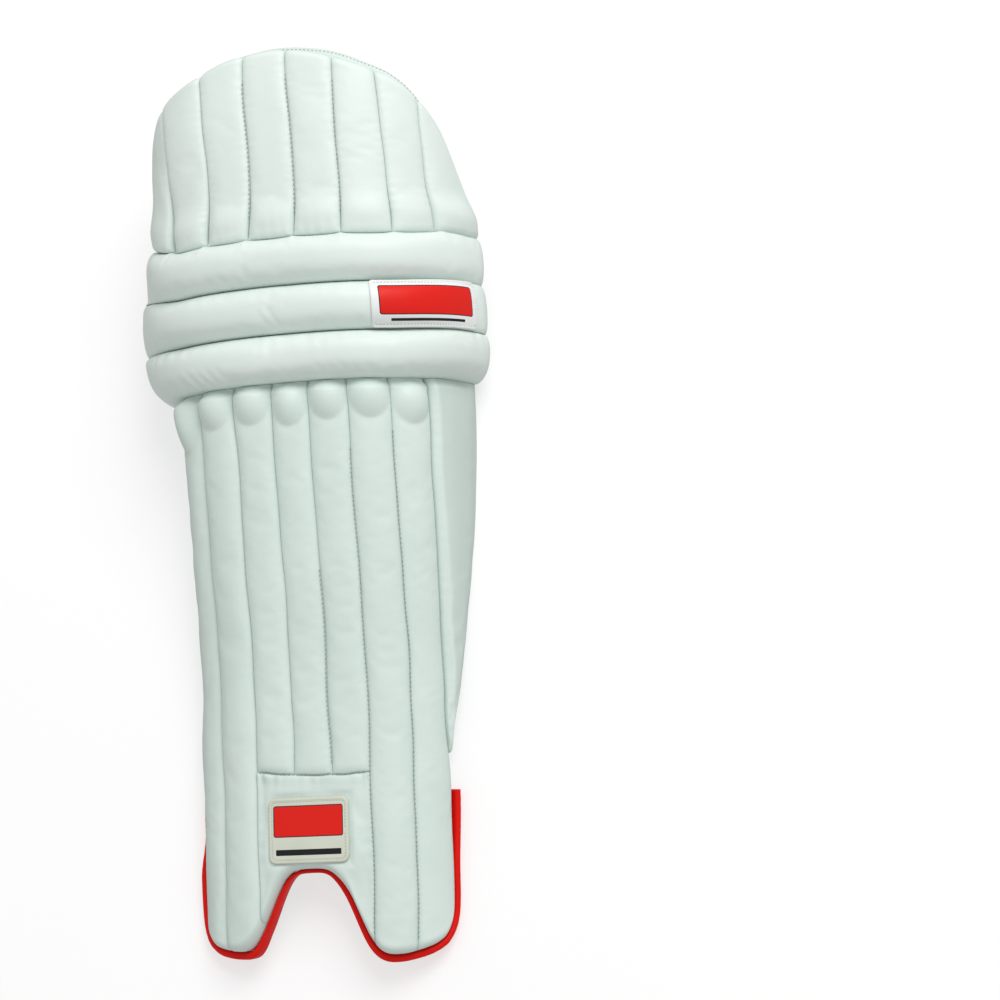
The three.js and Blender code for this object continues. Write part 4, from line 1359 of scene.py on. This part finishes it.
def hang_sheet(name):
    """A cloth object on the coarse grid of one front, held along its edges and pressed from behind."""
    columns, rows = coarse_grid(name)
    a, b = np.meshgrid(columns, rows)
    s, v, n, _ = FRONTS[name](a, b)
    start = at_rest(place(s, v, n))
    tall, wide, _ = start.shape
    corner = (np.arange(tall - 1)[:, None] * wide + np.arange(wide - 1)[None, :]).ravel()
    quads = np.stack([corner, corner + 1, corner + wide + 1, corner + wide], axis=-1)
    p, q, r = (start.reshape(-1, 3)[quads[:, k]] for k in range(3))
    outwards = at_rest(place(s, v, n + 1)) - start
    faces_out = np.einsum("ij,ij->i", np.cross(q - p, r - p), outwards.reshape(-1, 3)[quads[:, 0]]).sum()
    quads = quads if faces_out > 0 else quads[:, ::-1]
    mesh = mesh_from_faces("sheet_" + name, start.reshape(-1, 3), quads, [])
    sheet = put_in_scene("sheet_" + name, mesh)
    edge = np.ones((tall, wide), bool)
    edge[1:-1, 1:-1] = False
    held = sheet.vertex_groups.new(name="held")
    held.add(np.flatnonzero(edge).tolist(), 1.0, "REPLACE")
    cloth = sheet.modifiers.new("stuffing", "CLOTH")
    for key, value in CLOTH.items():
        setattr(cloth.settings, key, value)
    cloth.settings.shrink_min = -row_for(STUFFING, name)["slack"]
    cloth.settings.effector_weights.gravity = 0
    cloth.collision_settings.use_collision = False
    cloth.point_cache.frame_start = 1
    cloth.point_cache.frame_end = STUFFING_FRAMES
    return sheet, start, columns, rows


def moved_points(sheet, start):
    """How far the simulation moved each point of a sheet."""
    shown = sheet.evaluated_get(bpy.context.evaluated_depsgraph_get())
    flat = np.empty(start.size, np.float32)
    shown.data.vertices.foreach_get("co", flat)
    return flat.reshape(start.shape) - start


def capped(move, cap):
    """Shortens each movement smoothly so that none is longer than the cap: times tanh(length /
    cap) over that."""
    length = np.linalg.norm(move, axis=-1, keepdims=True) / (cap * MILLIMETRE)
    return move * np.tanh(length) / np.maximum(length, 1e-9)


def stuff_all():
    """Runs every sheet at once and keeps the capped movements with their grids."""
    sheets = {name: hang_sheet(name) for name in FRONTS}
    for step in range(1, STUFFING_FRAMES + 1):
        bpy.context.scene.frame_set(step)
    for name, (sheet, start, columns, rows) in sheets.items():
        move = capped(moved_points(sheet, start), row_for(STUFFING, name)["cap"])
        stuffed[name] = (move, columns, rows)
    for sheet, *_ in sheets.values():
        mesh = sheet.data
        bpy.data.objects.remove(sheet)
        bpy.data.meshes.remove(mesh)
    bpy.context.scene.frame_set(1)


def kernel(fine, coarse):
    """Weights from a coarse grid to a fine one: a cubic B-spline two cells wide, scaled so that each row
    adds to 1."""
    t = np.abs(fine[:, None] - coarse[None, :]) * (len(coarse) - 1)
    near = 2 / 3 - t**2 + t**3 / 2
    far = np.maximum(2 - t, 0) ** 3 / 6
    weight = np.where(t < 1, near, far)
    return weight / weight.sum(axis=1, keepdims=True)


def moved_by_stuffing(name, columns, rows):
    """The simulated movement on a fine grid, faded to nothing at the held edges."""
    if name not in stuffed:
        return 0.0
    move, coarse_columns, coarse_rows = stuffed[name]
    fine = np.einsum("ri,ijk,cj->rck", kernel(rows, coarse_rows), move, kernel(columns, coarse_columns))
    fade = pillow(rows, EDGE_SQUARENESS)[:, None] * pillow(columns, EDGE_SQUARENESS)[None, :]
    return fine * fade[..., None] * stuffing_free(name, columns, rows)


def stuffing_free(name, columns, rows):
    """1 where the leather may swell, and 0 under the two patches, which lie flat, and on
    the hard knuckles."""
    a, b = np.meshgrid(columns, rows)
    s, v, _, _ = FRONTS[name](a, b)
    if name == "instep_panel":
        return label_clear(s, v)[..., None]
    if name.startswith("knee_roll"):
        return patch_clear(name.removeprefix("knee_roll_"), s)[..., None]
    if name.startswith("shin_cane"):
        return below_knuckle(v + droop(s))[..., None]
    return 1.0


stuff_all()
for name in list(stuffed)[:3]:
    longest = np.linalg.norm(stuffed[name][0], axis=-1).max() / MILLIMETRE
    print(name, "moved by up to", round(float(longest), 2), "millimetres")
print("sheets stuffed:", len(stuffed))

# %% Padded meshes
FINE = {
    "shin_cane": {"columns": 26, "spacing": 1.35},
    "instep_panel": {"columns": 80, "spacing": 1.1},
    "wing": {"columns": 44, "spacing": 2.0},
    "knee_roll": {"columns": 40, "spacing": 1.5},
    "top_roll": {"columns": 30, "spacing": 1.2},
}


def fine_grid(name):
    """Columns that crowd towards the seams, and rows whose spacing along the piece comes from the table."""
    facts = row_for(FINE, name)
    rows = int(middle_length(name, False) / facts["spacing"])
    return edge_steps(facts["columns"]), (2 * even_steps(rows) + edge_steps(rows)) / 3


LIFTS = {"wing": WING_GAP, "knee_roll": SOFT_GAP, "": 0.0}
padded_triangles = 0
for name, front in FRONTS.items():
    padded_triangles += triangles_of(padded_piece(name, front, *fine_grid(name), row_for(LIFTS, name)))
print("triangles of the padded pieces:", padded_triangles)

# %% [markdown]
# ## The backing sheet
# Everything is sewn to one padded sheet whose hollow side takes the leg. Its outline has four edges, so its
# grid is blended from them: what the two long edges give, plus what the two short ones give, less the
# corners that both count. A tape of leather folds over the rim, and the lining inside swells a little
# between the rows of stitches.

# %% Backing sheet
BACKING = {
    "gap": 0.9,
    "thickness": 6,
    "rim": 3,
    "thinnest": 0.5,
    "quilt": 1.2,
    "quilt_from": 14,
    "tape": 7,
    "tape_rise": 0.5,
    "tape_step": 1.2,
    "tape_from": 3,
}
BACKING_GRID = {"columns": 130, "rows": 240}
OUTLINE_POINTS = 800
QUILT_SPAN = (470, 530)
BINDING_LAP = 2.5
FOOT_CORNER = {"s": FOOT_RIGHT["s"][-1], "v": FOOT_RIGHT["v"][-1]}


def spaced_along(line, shares):
    """Points of a line at shares of its length: its running length is read backwards."""
    length = running_length(line)
    at = shares * length[-1]
    return np.stack([np.interp(at, length, column) for column in line.T], axis=-1)


def backing_outline(columns, rows):
    """Grid of places on the skin, blended from the foot edge, the top edge and the two sides."""
    foot_s = np.linspace(-FOOT_CORNER["s"], FOOT_CORNER["s"], OUTLINE_POINTS)
    top_s = np.linspace(TOP["s"][0], TOP["s"][-1], OUTLINE_POINTS)
    low = spaced_along(np.stack([foot_s, foot_at(foot_s) + BINDING_LAP], axis=-1), columns)[None]
    high = spaced_along(np.stack([top_s, top_at(top_s)], axis=-1), columns)[None]
    heights = blend(SIDES["v"][0] + BINDING_LAP, SIDES["v"][-1], rows)
    left = np.stack([left_at(heights), heights], axis=-1)[:, None]
    right_side = np.stack([right_at(heights), heights], axis=-1)[:, None]
    a = columns[None, :, None]
    b = rows[:, None, None]
    corners = blend(blend(low[:, :1], low[:, -1:], a), blend(high[:, :1], high[:, -1:], a), b)
    return blend(low, high, b) + blend(left, right_side, a) - corners


def distance_to_rim(grid):
    """Shortest way to the outline along a row or a column of the grid: running lengths from both ends."""
    nearest = np.full(grid.shape[:2], np.inf)
    for axis in (0, 1):
        steps = np.linalg.norm(np.diff(grid, axis=axis), axis=-1)
        start = np.zeros_like(np.take(steps, [0], axis=axis))
        length = np.concatenate([start, np.cumsum(steps, axis=axis)], axis=axis)
        whole = np.take(length, [-1], axis=axis)
        nearest = np.minimum(nearest, np.minimum(length, whole - length))
    return nearest


def quilting(s, v):
    """Swelling of the lining between rows of stitches: shin rows below the knee and thigh rows above it."""
    shin = pillow(share_between(s, SHIN_SEAMS), 2)
    thigh = pillow(share_between(s, THIGH_LOW), 2)
    return blend(shin, thigh, ramp_between(v, *QUILT_SPAN))


def make_backing():
    """The sheet: a face and a lining on either side of its middle, half its thickness apart from it, that
    come together at the rim along a quarter circle. The lining also rises by the tape at the rim and by the
    quilting inside it."""
    columns = edge_steps(BACKING_GRID["columns"])
    rows = (even_steps(BACKING_GRID["rows"]) + edge_steps(BACKING_GRID["rows"])) / 2
    grid = backing_outline(columns, rows)
    s = grid[..., 0]
    v = grid[..., 1]
    rim = distance_to_rim(grid)
    half = np.maximum(BACKING["thickness"] * shoulder(rim, BACKING["rim"]), BACKING["thinnest"]) / 2
    middle = -depth(s) - BACKING["gap"] - BACKING["thickness"] / 2
    under_tape = ramp((BACKING["tape"] - rim) / BACKING["tape_step"] + 0.5)
    tape = BACKING["tape_rise"] * under_tape * ramp(rim / BACKING["tape_from"])
    swell = BACKING["quilt"] * quilting(s, v) * ramp((rim - BACKING["tape"]) / BACKING["quilt_from"])
    face = at_rest(place(s, v, middle + half))
    lining = at_rest(place(s, v, middle - half - tape - swell))
    flat = np.stack([s, v, 0 * s], axis=-1) * MILLIMETRE
    edge = near_seam(np.abs(rim - BACKING["tape"]))
    numbers = {"flat": wrapped(flat, flat), "seam": wrapped(0 * edge, edge)}
    piece = ring_piece("backing_sheet", wrapped(face, lining), lining_cloth, numbers, sheet=True)
    piece.data.materials.append(white_leather)
    inside = wrapped(np.zeros(s.shape, bool), rim > BACKING["tape"])
    finish = np.ones(len(piece.data.polygons), np.int32)
    finish[: inside[:-1].size] = ~inside[:-1].ravel()
    piece.data.polygons.foreach_set("material_index", finish)
    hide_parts("backing")
    return piece


backing = make_backing()
print("backing sheet:", triangles_of(backing), "triangles")

# %% [markdown]
# ## The red binding
# A strip of vinyl is folded round the foot edge, from one ankle over both lobes and the arch to the other
# ankle. It is one rounded section carried along that edge. The section stands outside the edge, so each
# point is moved along the skin at right angles to the path before the skin is bent.

# %% Foot binding
BINDING = {
    "width": 6.8,
    "arch_width": 3.8,
    "arch_half": 15,
    "half_thick": 5,
    "top": 122,
    "sink": 1.5,
    "rise": 2.2,
    "side_rise": 3.5,
    "ankle_width": 0.8,
    "roundness": 3.0,
    "seam_fade": 0.9,
}
FLANK_SPAN = (-66, -50)
SIDE_EDGE_SPAN = (95, 112)
ANKLE_SPAN = (62, 98)
BINDING_RINGS = 620
BINDING_AROUND = 22
BINDING_FOLDS = {"step": 1.2, "inner_side": -0.5}
BINDING_GATHERS = {"size": 0.08, "pitch": 9, "reach": 1, "seed": 500}
FOOT_LINE_POINTS = 4000


def foot_line():
    """The foot edge on the skin: down one ankle, along the lobes and the arch, and up the other ankle."""
    reach = FOOT_CORNER["s"] + BINDING["top"] - FOOT_CORNER["v"]
    along = np.linspace(-reach, reach, FOOT_LINE_POINTS)
    past = np.abs(along) - FOOT_CORNER["s"]
    v = np.where(past > 0, FOOT_CORNER["v"] + past, foot_at(along))
    s = np.where(past > 0, np.sign(along) * right_at(v), along)
    return spaced_along(np.stack([s, v], axis=-1), even_steps(BINDING_RINGS - 1))


def rounded_section(points, power_across, power_upright):
    """A closed section from -1 to 1 both ways: the cosine and sine of a turn, each raised to a power and
    keeping its sign. Powers below 1 make it squarer than a circle."""
    turn = 2 * np.pi * np.arange(points) / points
    across = np.sign(np.cos(turn)) * np.abs(np.cos(turn)) ** power_across
    upright = np.sign(np.sin(turn)) * np.abs(np.sin(turn)) ** power_upright
    return across, upright


def directions(line):
    """Unit steps along a line of points."""
    way = np.gradient(line, axis=0)
    return way / np.linalg.norm(way, axis=1, keepdims=True)


def make_binding():
    """The strip: a rounded section outside the foot edge, narrower over the arch and on the inner flank of
    the left lobe, thin up the left ankle, and a little taller above its middle than below it."""
    line = foot_line()
    way = directions(line)
    s, v = line[:, :1], line[:, 1:]
    flank = ramp_between(s, *FLANK_SPAN) * (s < 0)
    narrow = np.maximum(np.exp(-((s / BINDING["arch_half"]) ** 2)), flank)
    left_ankle = ramp_between(v, *ANKLE_SPAN) * (s < -SIDE_EDGE_SPAN[0])
    width = blend(BINDING["width"], BINDING["arch_width"], narrow)
    width = blend(width, BINDING["ankle_width"], left_ankle)
    power = 2 / BINDING["roundness"]
    across, upright = rounded_section(BINDING_AROUND, power, power)
    inner = 2 * GAP
    out = (width + inner) / 2 + (width - inner) / 2 * across
    by_side = ramp_between(np.abs(s), *SIDE_EDGE_SPAN)
    higher = blend(BINDING["rise"], BINDING["side_rise"], by_side) * (1 - left_ankle)
    rise = (BINDING["half_thick"] + higher * (upright > 0)) * upright
    along = np.arange(BINDING_RINGS)[:, None] * BINDING_FOLDS["step"]
    folds = gathers(along, 0 * along, **BINDING_GATHERS)
    rise = rise + folds * (across > BINDING_FOLDS["inner_side"])
    middle = -depth(s) - BINDING["sink"]
    rings = at_rest(place(s + way[:, 1:] * out, v - way[:, :1] * out, middle + rise))
    # 1 on the binding's inner edge against the leather, where the finish paints shade, fading outwards.
    seam = np.exp(-(out - inner) / BINDING["seam_fade"])
    piece = ring_piece("foot_binding_strip", rings, red_vinyl, {"seam": seam})
    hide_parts("foot_binding")
    return piece


binding = make_binding()
print("foot binding:", triangles_of(binding), "triangles")

# %% [markdown]
# ## Patches
# A patch is a thin sheet with round corners that follows what it lies on. The distance to its edge, a
# rounded box again, rounds its rim and raises the ridges that its stitches leave.

# %% Patches
PATCH_GRID = {"columns": 70, "rows": 60}
PATCH_RIM = {"start": 0.15, "length": 1.0}


def inside_box(x, y, half_width, half_height, radius):
    """Distance inwards from a rounded box's edge: the radius less how far the point is beyond
    the inner corner."""
    beyond_x = np.abs(x) - (half_width - radius)
    beyond_y = np.abs(y) - (half_height - radius)
    corner = np.hypot(np.maximum(beyond_x, 0), np.maximum(beyond_y, 0))
    return radius - corner - np.minimum(np.maximum(beyond_x, beyond_y), 0)


def make_patch(name, label, finish, slot, height, on_skin, ridges):
    """A patch on the skin: on_skin gives v and n of what it lies on for s and a share from its lower
    to upper edge."""
    a, b = np.meshgrid(edge_steps(PATCH_GRID["columns"]), edge_steps(PATCH_GRID["rows"]))
    y = height * (b - 0.5)
    inset = np.maximum(label["radius"] - (height / 2 - np.abs(y)), 0)
    cut = label["radius"] - np.sqrt(np.maximum(label["radius"] ** 2 - inset**2, 0))
    x = (label["width"] / 2 - cut) * (2 * a - 1)
    s = label["s"] + x
    v, under = on_skin(s, b)
    edge = inside_box(x, y, label["width"] / 2, height / 2, label["radius"])
    rise = LABEL_THICKNESS * shoulder(edge + PATCH_RIM["start"], PATCH_RIM["length"])
    for ridge in ridges:
        rise = rise + ridge["rise"] * np.exp(-(((edge - ridge["in"]) / ridge["half"]) ** 2))
    front = at_rest(place(s, v, under + LABEL_GAP + rise))
    behind = at_rest(place(s, v, under + LABEL_GAP))
    flat = np.stack([x, y, 0 * x], axis=-1) * MILLIMETRE
    numbers = {"flat": wrapped(flat, flat), "seam": wrapped(near_seam(edge), near_seam(edge))}
    piece = ring_piece(name + "_patch", wrapped(front, behind), finish, numbers, sheet=True)
    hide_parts(name)
    return piece


def on_instep(s, b):
    """The flat of the instep panel, straight up from the patch's lower to its upper edge."""
    v = INSTEP_LABEL["v"] + INSTEP_LABEL["height"] * (b - 0.5) + 0 * s
    return v, INSTEP["flat"] + 0 * s


def on_middle_roll(s, b):
    """The front of the middle knee roll, cut off before its edges, where the stiff patch
    doesn't follow it."""
    roll = KNEE_ROLLS["middle"]
    share = blend(KNEE_LABEL["margin"], 1 - KNEE_LABEL["margin"], b)
    stiff = np.clip(share, KNEE_LABEL["flat_from"], 1 - KNEE_LABEL["flat_from"])
    return roll_height(roll, s, share), roll_rise("middle", s, stiff)


KNEE_LABEL_HEIGHT = KNEE_ROLLS["middle"]["high"] - KNEE_ROLLS["middle"]["low"]
KNEE_LABEL_HEIGHT = KNEE_LABEL_HEIGHT * (1 - 2 * KNEE_LABEL["margin"])
INSTEP_RIDGES = [{"in": 1.5, "half": 0.8, "rise": 0.5}, {"in": 4.2, "half": 0.6, "rise": 0.3}]
KNEE_RIDGES = [{"in": 1.1, "half": 0.7, "rise": 0.2}]
instep_facts = {"height": INSTEP_LABEL["height"], "on_skin": on_instep, "ridges": INSTEP_RIDGES}
knee_facts = {"height": KNEE_LABEL_HEIGHT, "on_skin": on_middle_roll, "ridges": KNEE_RIDGES}
instep_label = make_patch("instep_label", INSTEP_LABEL, cream_patch, "cream_patch", **instep_facts)
knee_label = make_patch("knee_label", KNEE_LABEL, white_patch, "white_patch", **knee_facts)
print("patches:", triangles_of(instep_label), "and", triangles_of(knee_label), "triangles")

# %% [markdown]
# ## The calf strap
# One dark strap crosses the hollow side, sewn to the inside of both wings. It is a flat section with round
# edges carried along a route: along one wing, round a small bend, level across and back up the other wing.

# %% Calf strap
STRAP = {"v": 353, "width": 36, "sewn_from": 112, "sewn_to": 136, "turn": 9, "thickness": 2.4, "gap": 2}
STRAP_STEPS = {"sewn": 14, "turn": 9, "across": 46, "around": 28}
STRAP_POWERS = (0.25, 0.6)


def half_route(side):
    """One side of the strap's route, as x and height: the sewn stretch and a quarter circle."""
    s = side * np.linspace(STRAP["sewn_from"], STRAP["sewn_to"], STRAP_STEPS["sewn"])
    under = -depth(s) - BACKING["gap"] - BACKING["thickness"] - STRAP["gap"] - STRAP["thickness"] / 2
    sewn = place(s, STRAP["v"], under)[:, [0, 2]]
    angle = np.linspace(0, np.pi / 2, STRAP_STEPS["turn"])[1:]
    bend = np.stack([side * (np.cos(angle) - 1), -np.sin(angle)], axis=-1) * STRAP["turn"] + sewn[-1]
    return np.concatenate([sewn, bend])


def strap_route():
    """The whole route: down the right side, straight across and up the left side."""
    right_half = half_route(1)
    left_half = half_route(-1)[::-1]
    across = blend(right_half[-1], left_half[0], even_steps(STRAP_STEPS["across"])[1:-1, None])
    return np.concatenate([right_half, across, left_half])


def make_strap():
    """The strap: a flat rounded section, as wide as the strap along the guard, carried along the route."""
    route = strap_route()
    way = directions(route)
    side, out = rounded_section(STRAP_STEPS["around"], *STRAP_POWERS)
    side = side * STRAP["width"] / 2
    out = out * STRAP["thickness"] / 2
    x = route[:, :1] - way[:, 1:] * out
    z = route[:, 1:] + way[:, :1] * out
    y = np.broadcast_to(STRAP["v"] + side, x.shape)
    length = np.cumsum(np.linalg.norm(np.gradient(route, axis=0), axis=1))
    flat = np.stack([y, np.broadcast_to(length[:, None], y.shape), 0 * y], axis=-1) * MILLIMETRE
    piece = ring_piece("calf_strap_band", at_rest(np.stack([x, y, z], axis=-1)), webbing, {"flat": flat})
    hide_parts("calf_strap")
    return piece


strap = make_strap()
print("calf strap:", triangles_of(strap), "triangles")

# %% [markdown]
# ## Stitches
# The dotted lines in the seams are stitches that lie in the valley between two pieces. They show in the
# seams that lie open; in the others the leather closes over the thread. Each is a short bead of thread with
# a few faces, bowed so that its ends dive into the leather. A path on the skin is cut at equal lengths, and
# all beads of a group are worked out as one array and joined into one mesh.

# %% Stitches
STITCH = {"pitch": 3.5, "share": 0.6, "radius": 0.42, "bow": 0.35, "taper": 0.94, "stations": 5, "sides": 6}


def stitch_rings(path, pitch=STITCH["pitch"], radius=STITCH["radius"]):
    """Beads along a path of s, v, n: stations along each bead, and round each station a circle whose radius
    follows an ellipse. Returns an array (bead, station, side, xyz)."""
    length = running_length(path[:, :2])
    centres = np.arange(pitch, length[-1] - pitch, pitch)
    t = np.linspace(-1, 1, STITCH["stations"])
    at = centres[:, None] + t * STITCH["share"] * pitch / 2
    s, v, n = (np.interp(at, length, path[:, k]) for k in range(3))
    way = np.stack([s[:, -1] - s[:, 0], v[:, -1] - v[:, 0]], axis=-1)
    way = way / np.linalg.norm(way, axis=1, keepdims=True)
    turn = 2 * np.pi * np.arange(STITCH["sides"]) / STITCH["sides"]
    wide = radius * np.sqrt(1 - (STITCH["taper"] * t) ** 2)
    across = wide[None, :, None] * np.cos(turn)
    upwards = wide[None, :, None] * np.sin(turn) + STITCH["bow"] * (1 - t**2)[None, :, None]
    s = s[..., None] - way[:, 1, None, None] * across
    v = v[..., None] + way[:, 0, None, None] * across
    return at_rest(place(s, v, n[..., None] + upwards))


def stitching(name, paths, finish=thread, **facts):
    """All beads of several paths in one mesh."""
    beads = np.concatenate([stitch_rings(path, **facts) for path in paths])
    count, stations, sides, _ = beads.shape
    points = beads.reshape(-1, 3)
    start = np.arange(count) * stations * sides
    quads = (start[:, None, None] + ring_faces(stations, sides)).reshape(-1, 4)
    ends = np.stack([np.arange(sides)[::-1], (stations - 1) * sides + np.arange(sides)])
    caps = (start[:, None, None] + ends).reshape(-1, sides)
    if volume_of(points, quads) < 0:
        quads = quads[:, ::-1]
        caps = caps[:, ::-1]
    mesh = mesh_from_faces(name, points, quads, list(caps))
    mesh.materials.append(finish)
    piece = put_in_scene(name, mesh)
    print(name, "has", count, "stitches")
    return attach(piece, "root")


def skin_path(s, v, n):
    """A path on the skin from its three coordinates."""
    return np.stack(np.broadcast_arrays(s, v, n), axis=-1).astype(float)


print("a stitch has", (STITCH["stations"] - 1) * STITCH["sides"] + 2, "faces")

# %% Seam stitches
SEAM_SINK = -2.1
SHOWN_SHIN_SEAMS = {4: 300, 5: 390, 6: 400}
SHIN_START = {"instep": 6, "foot": 8}
SHOWN_THIGH_SEAMS = (3, 4, 5)
THIGH_STITCH = {"from": 0.1, "to": 0.93, "level": -1.8, "sink": 3.5, "sink_from": 0.8, "radius": 0.36}
INSTEP_SINK = -2.8
PATH_POINTS = {"shin": 400, "thigh": 300, "instep": 300, "rim": 600, "patch": 800}


def shin_path(number):
    """Along one shin seam, from the foot or the instep seam up to where its stitches sink into the fold."""
    s = SHIN_SEAMS[number]
    above_instep = number in SHORT_CANES[:-1]
    start = instep_top(s) + SHIN_START["instep"] if above_instep else foot_at(s) + SHIN_START["foot"]
    v = np.linspace(start, SHOWN_SHIN_SEAMS[number], PATH_POINTS["shin"])
    return skin_path(seam_line(number, v), v, SEAM_SINK)


def thigh_path(number):
    """Along one thigh seam, from the puffed lower ends to the rim, where the stitches sink away."""
    b = np.linspace(THIGH_STITCH["from"], THIGH_STITCH["to"], PATH_POINTS["thigh"])
    s = thigh_seam(number, b)
    v = blend(knee_high(s), top_at(s) - thigh_rim(s), b)
    sunk = ramp_between(b, THIGH_STITCH["sink_from"], THIGH_STITCH["to"])
    return skin_path(s, v, THIGH_STITCH["level"] - THIGH_STITCH["sink"] * sunk)


stitching("shin_stitching", [shin_path(number) for number in SHOWN_SHIN_SEAMS])
thigh_paths = [thigh_path(number) for number in SHOWN_THIGH_SEAMS]
stitching("thigh_stitching", thigh_paths, radius=THIGH_STITCH["radius"])
instep_ends = (SHIN_SEAMS[SHORT_CANES[0] - 1], SHIN_SEAMS[SHORT_CANES[-1]])
instep_s = np.linspace(*instep_ends, PATH_POINTS["instep"])
stitching("instep_stitching", [skin_path(instep_s, instep_top(instep_s), INSTEP_SINK)])

# %% Edge and patch stitches
RIM_STITCH = {"in": 2.0, "left": 4, "right": 6, "radius": 0.25}
PATCH_STITCH = {"instep_in": 2.9, "knee_in": 2.2, "lift": 0.05, "corner": 0.8, "pitch": 2.4, "radius": 0.28}


def box_path(label, height, inset, on_skin):
    """Round a patch at a distance inside its edge: four sides joined by quarter circles."""
    half = np.array([label["width"] / 2, height / 2]) - inset
    radius = max(label["radius"] - inset, PATCH_STITCH["corner"])
    turn = np.linspace(0, 2 * np.pi, PATH_POINTS["patch"])
    round_about = np.stack([np.cos(turn), np.sin(turn)], axis=-1)
    corner = np.sign(round_about) * (half - radius) + radius * round_about
    x, y = np.concatenate([corner, corner[:1]]).T
    s = label["s"] + x
    v, under = on_skin(s, y / height + 0.5)
    return skin_path(s, v, under + LABEL_GAP + LABEL_THICKNESS + PATCH_STITCH["lift"])


def rim_path():
    """Along the top edge, on the tape that shows beyond the thigh channels."""
    s = np.linspace(TOP["s"][0] + RIM_STITCH["left"], TOP["s"][-1] - RIM_STITCH["right"], PATH_POINTS["rim"])
    return skin_path(s, top_at(s) - RIM_STITCH["in"], -depth(s) - BACKING["gap"])


stitching("rim_stitching", [rim_path()], patch_thread, radius=RIM_STITCH["radius"])
patch_paths = [
    box_path(INSTEP_LABEL, INSTEP_LABEL["height"], PATCH_STITCH["instep_in"], on_instep),
    box_path(KNEE_LABEL, KNEE_LABEL_HEIGHT, PATCH_STITCH["knee_in"], on_middle_roll),
]
patch_facts = {"pitch": PATCH_STITCH["pitch"], "radius": PATCH_STITCH["radius"]}
stitching("patch_stitching", patch_paths, patch_thread, **patch_facts)

# %% [markdown]
# ## Counting the triangles
# The looks may stand a little proud of the solids. The scene is brought up to date and the triangles of all
# shown pieces are added up.

# %% Counting the triangles
bpy.context.view_layer.update()
total = sum(triangles_of(piece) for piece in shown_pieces())
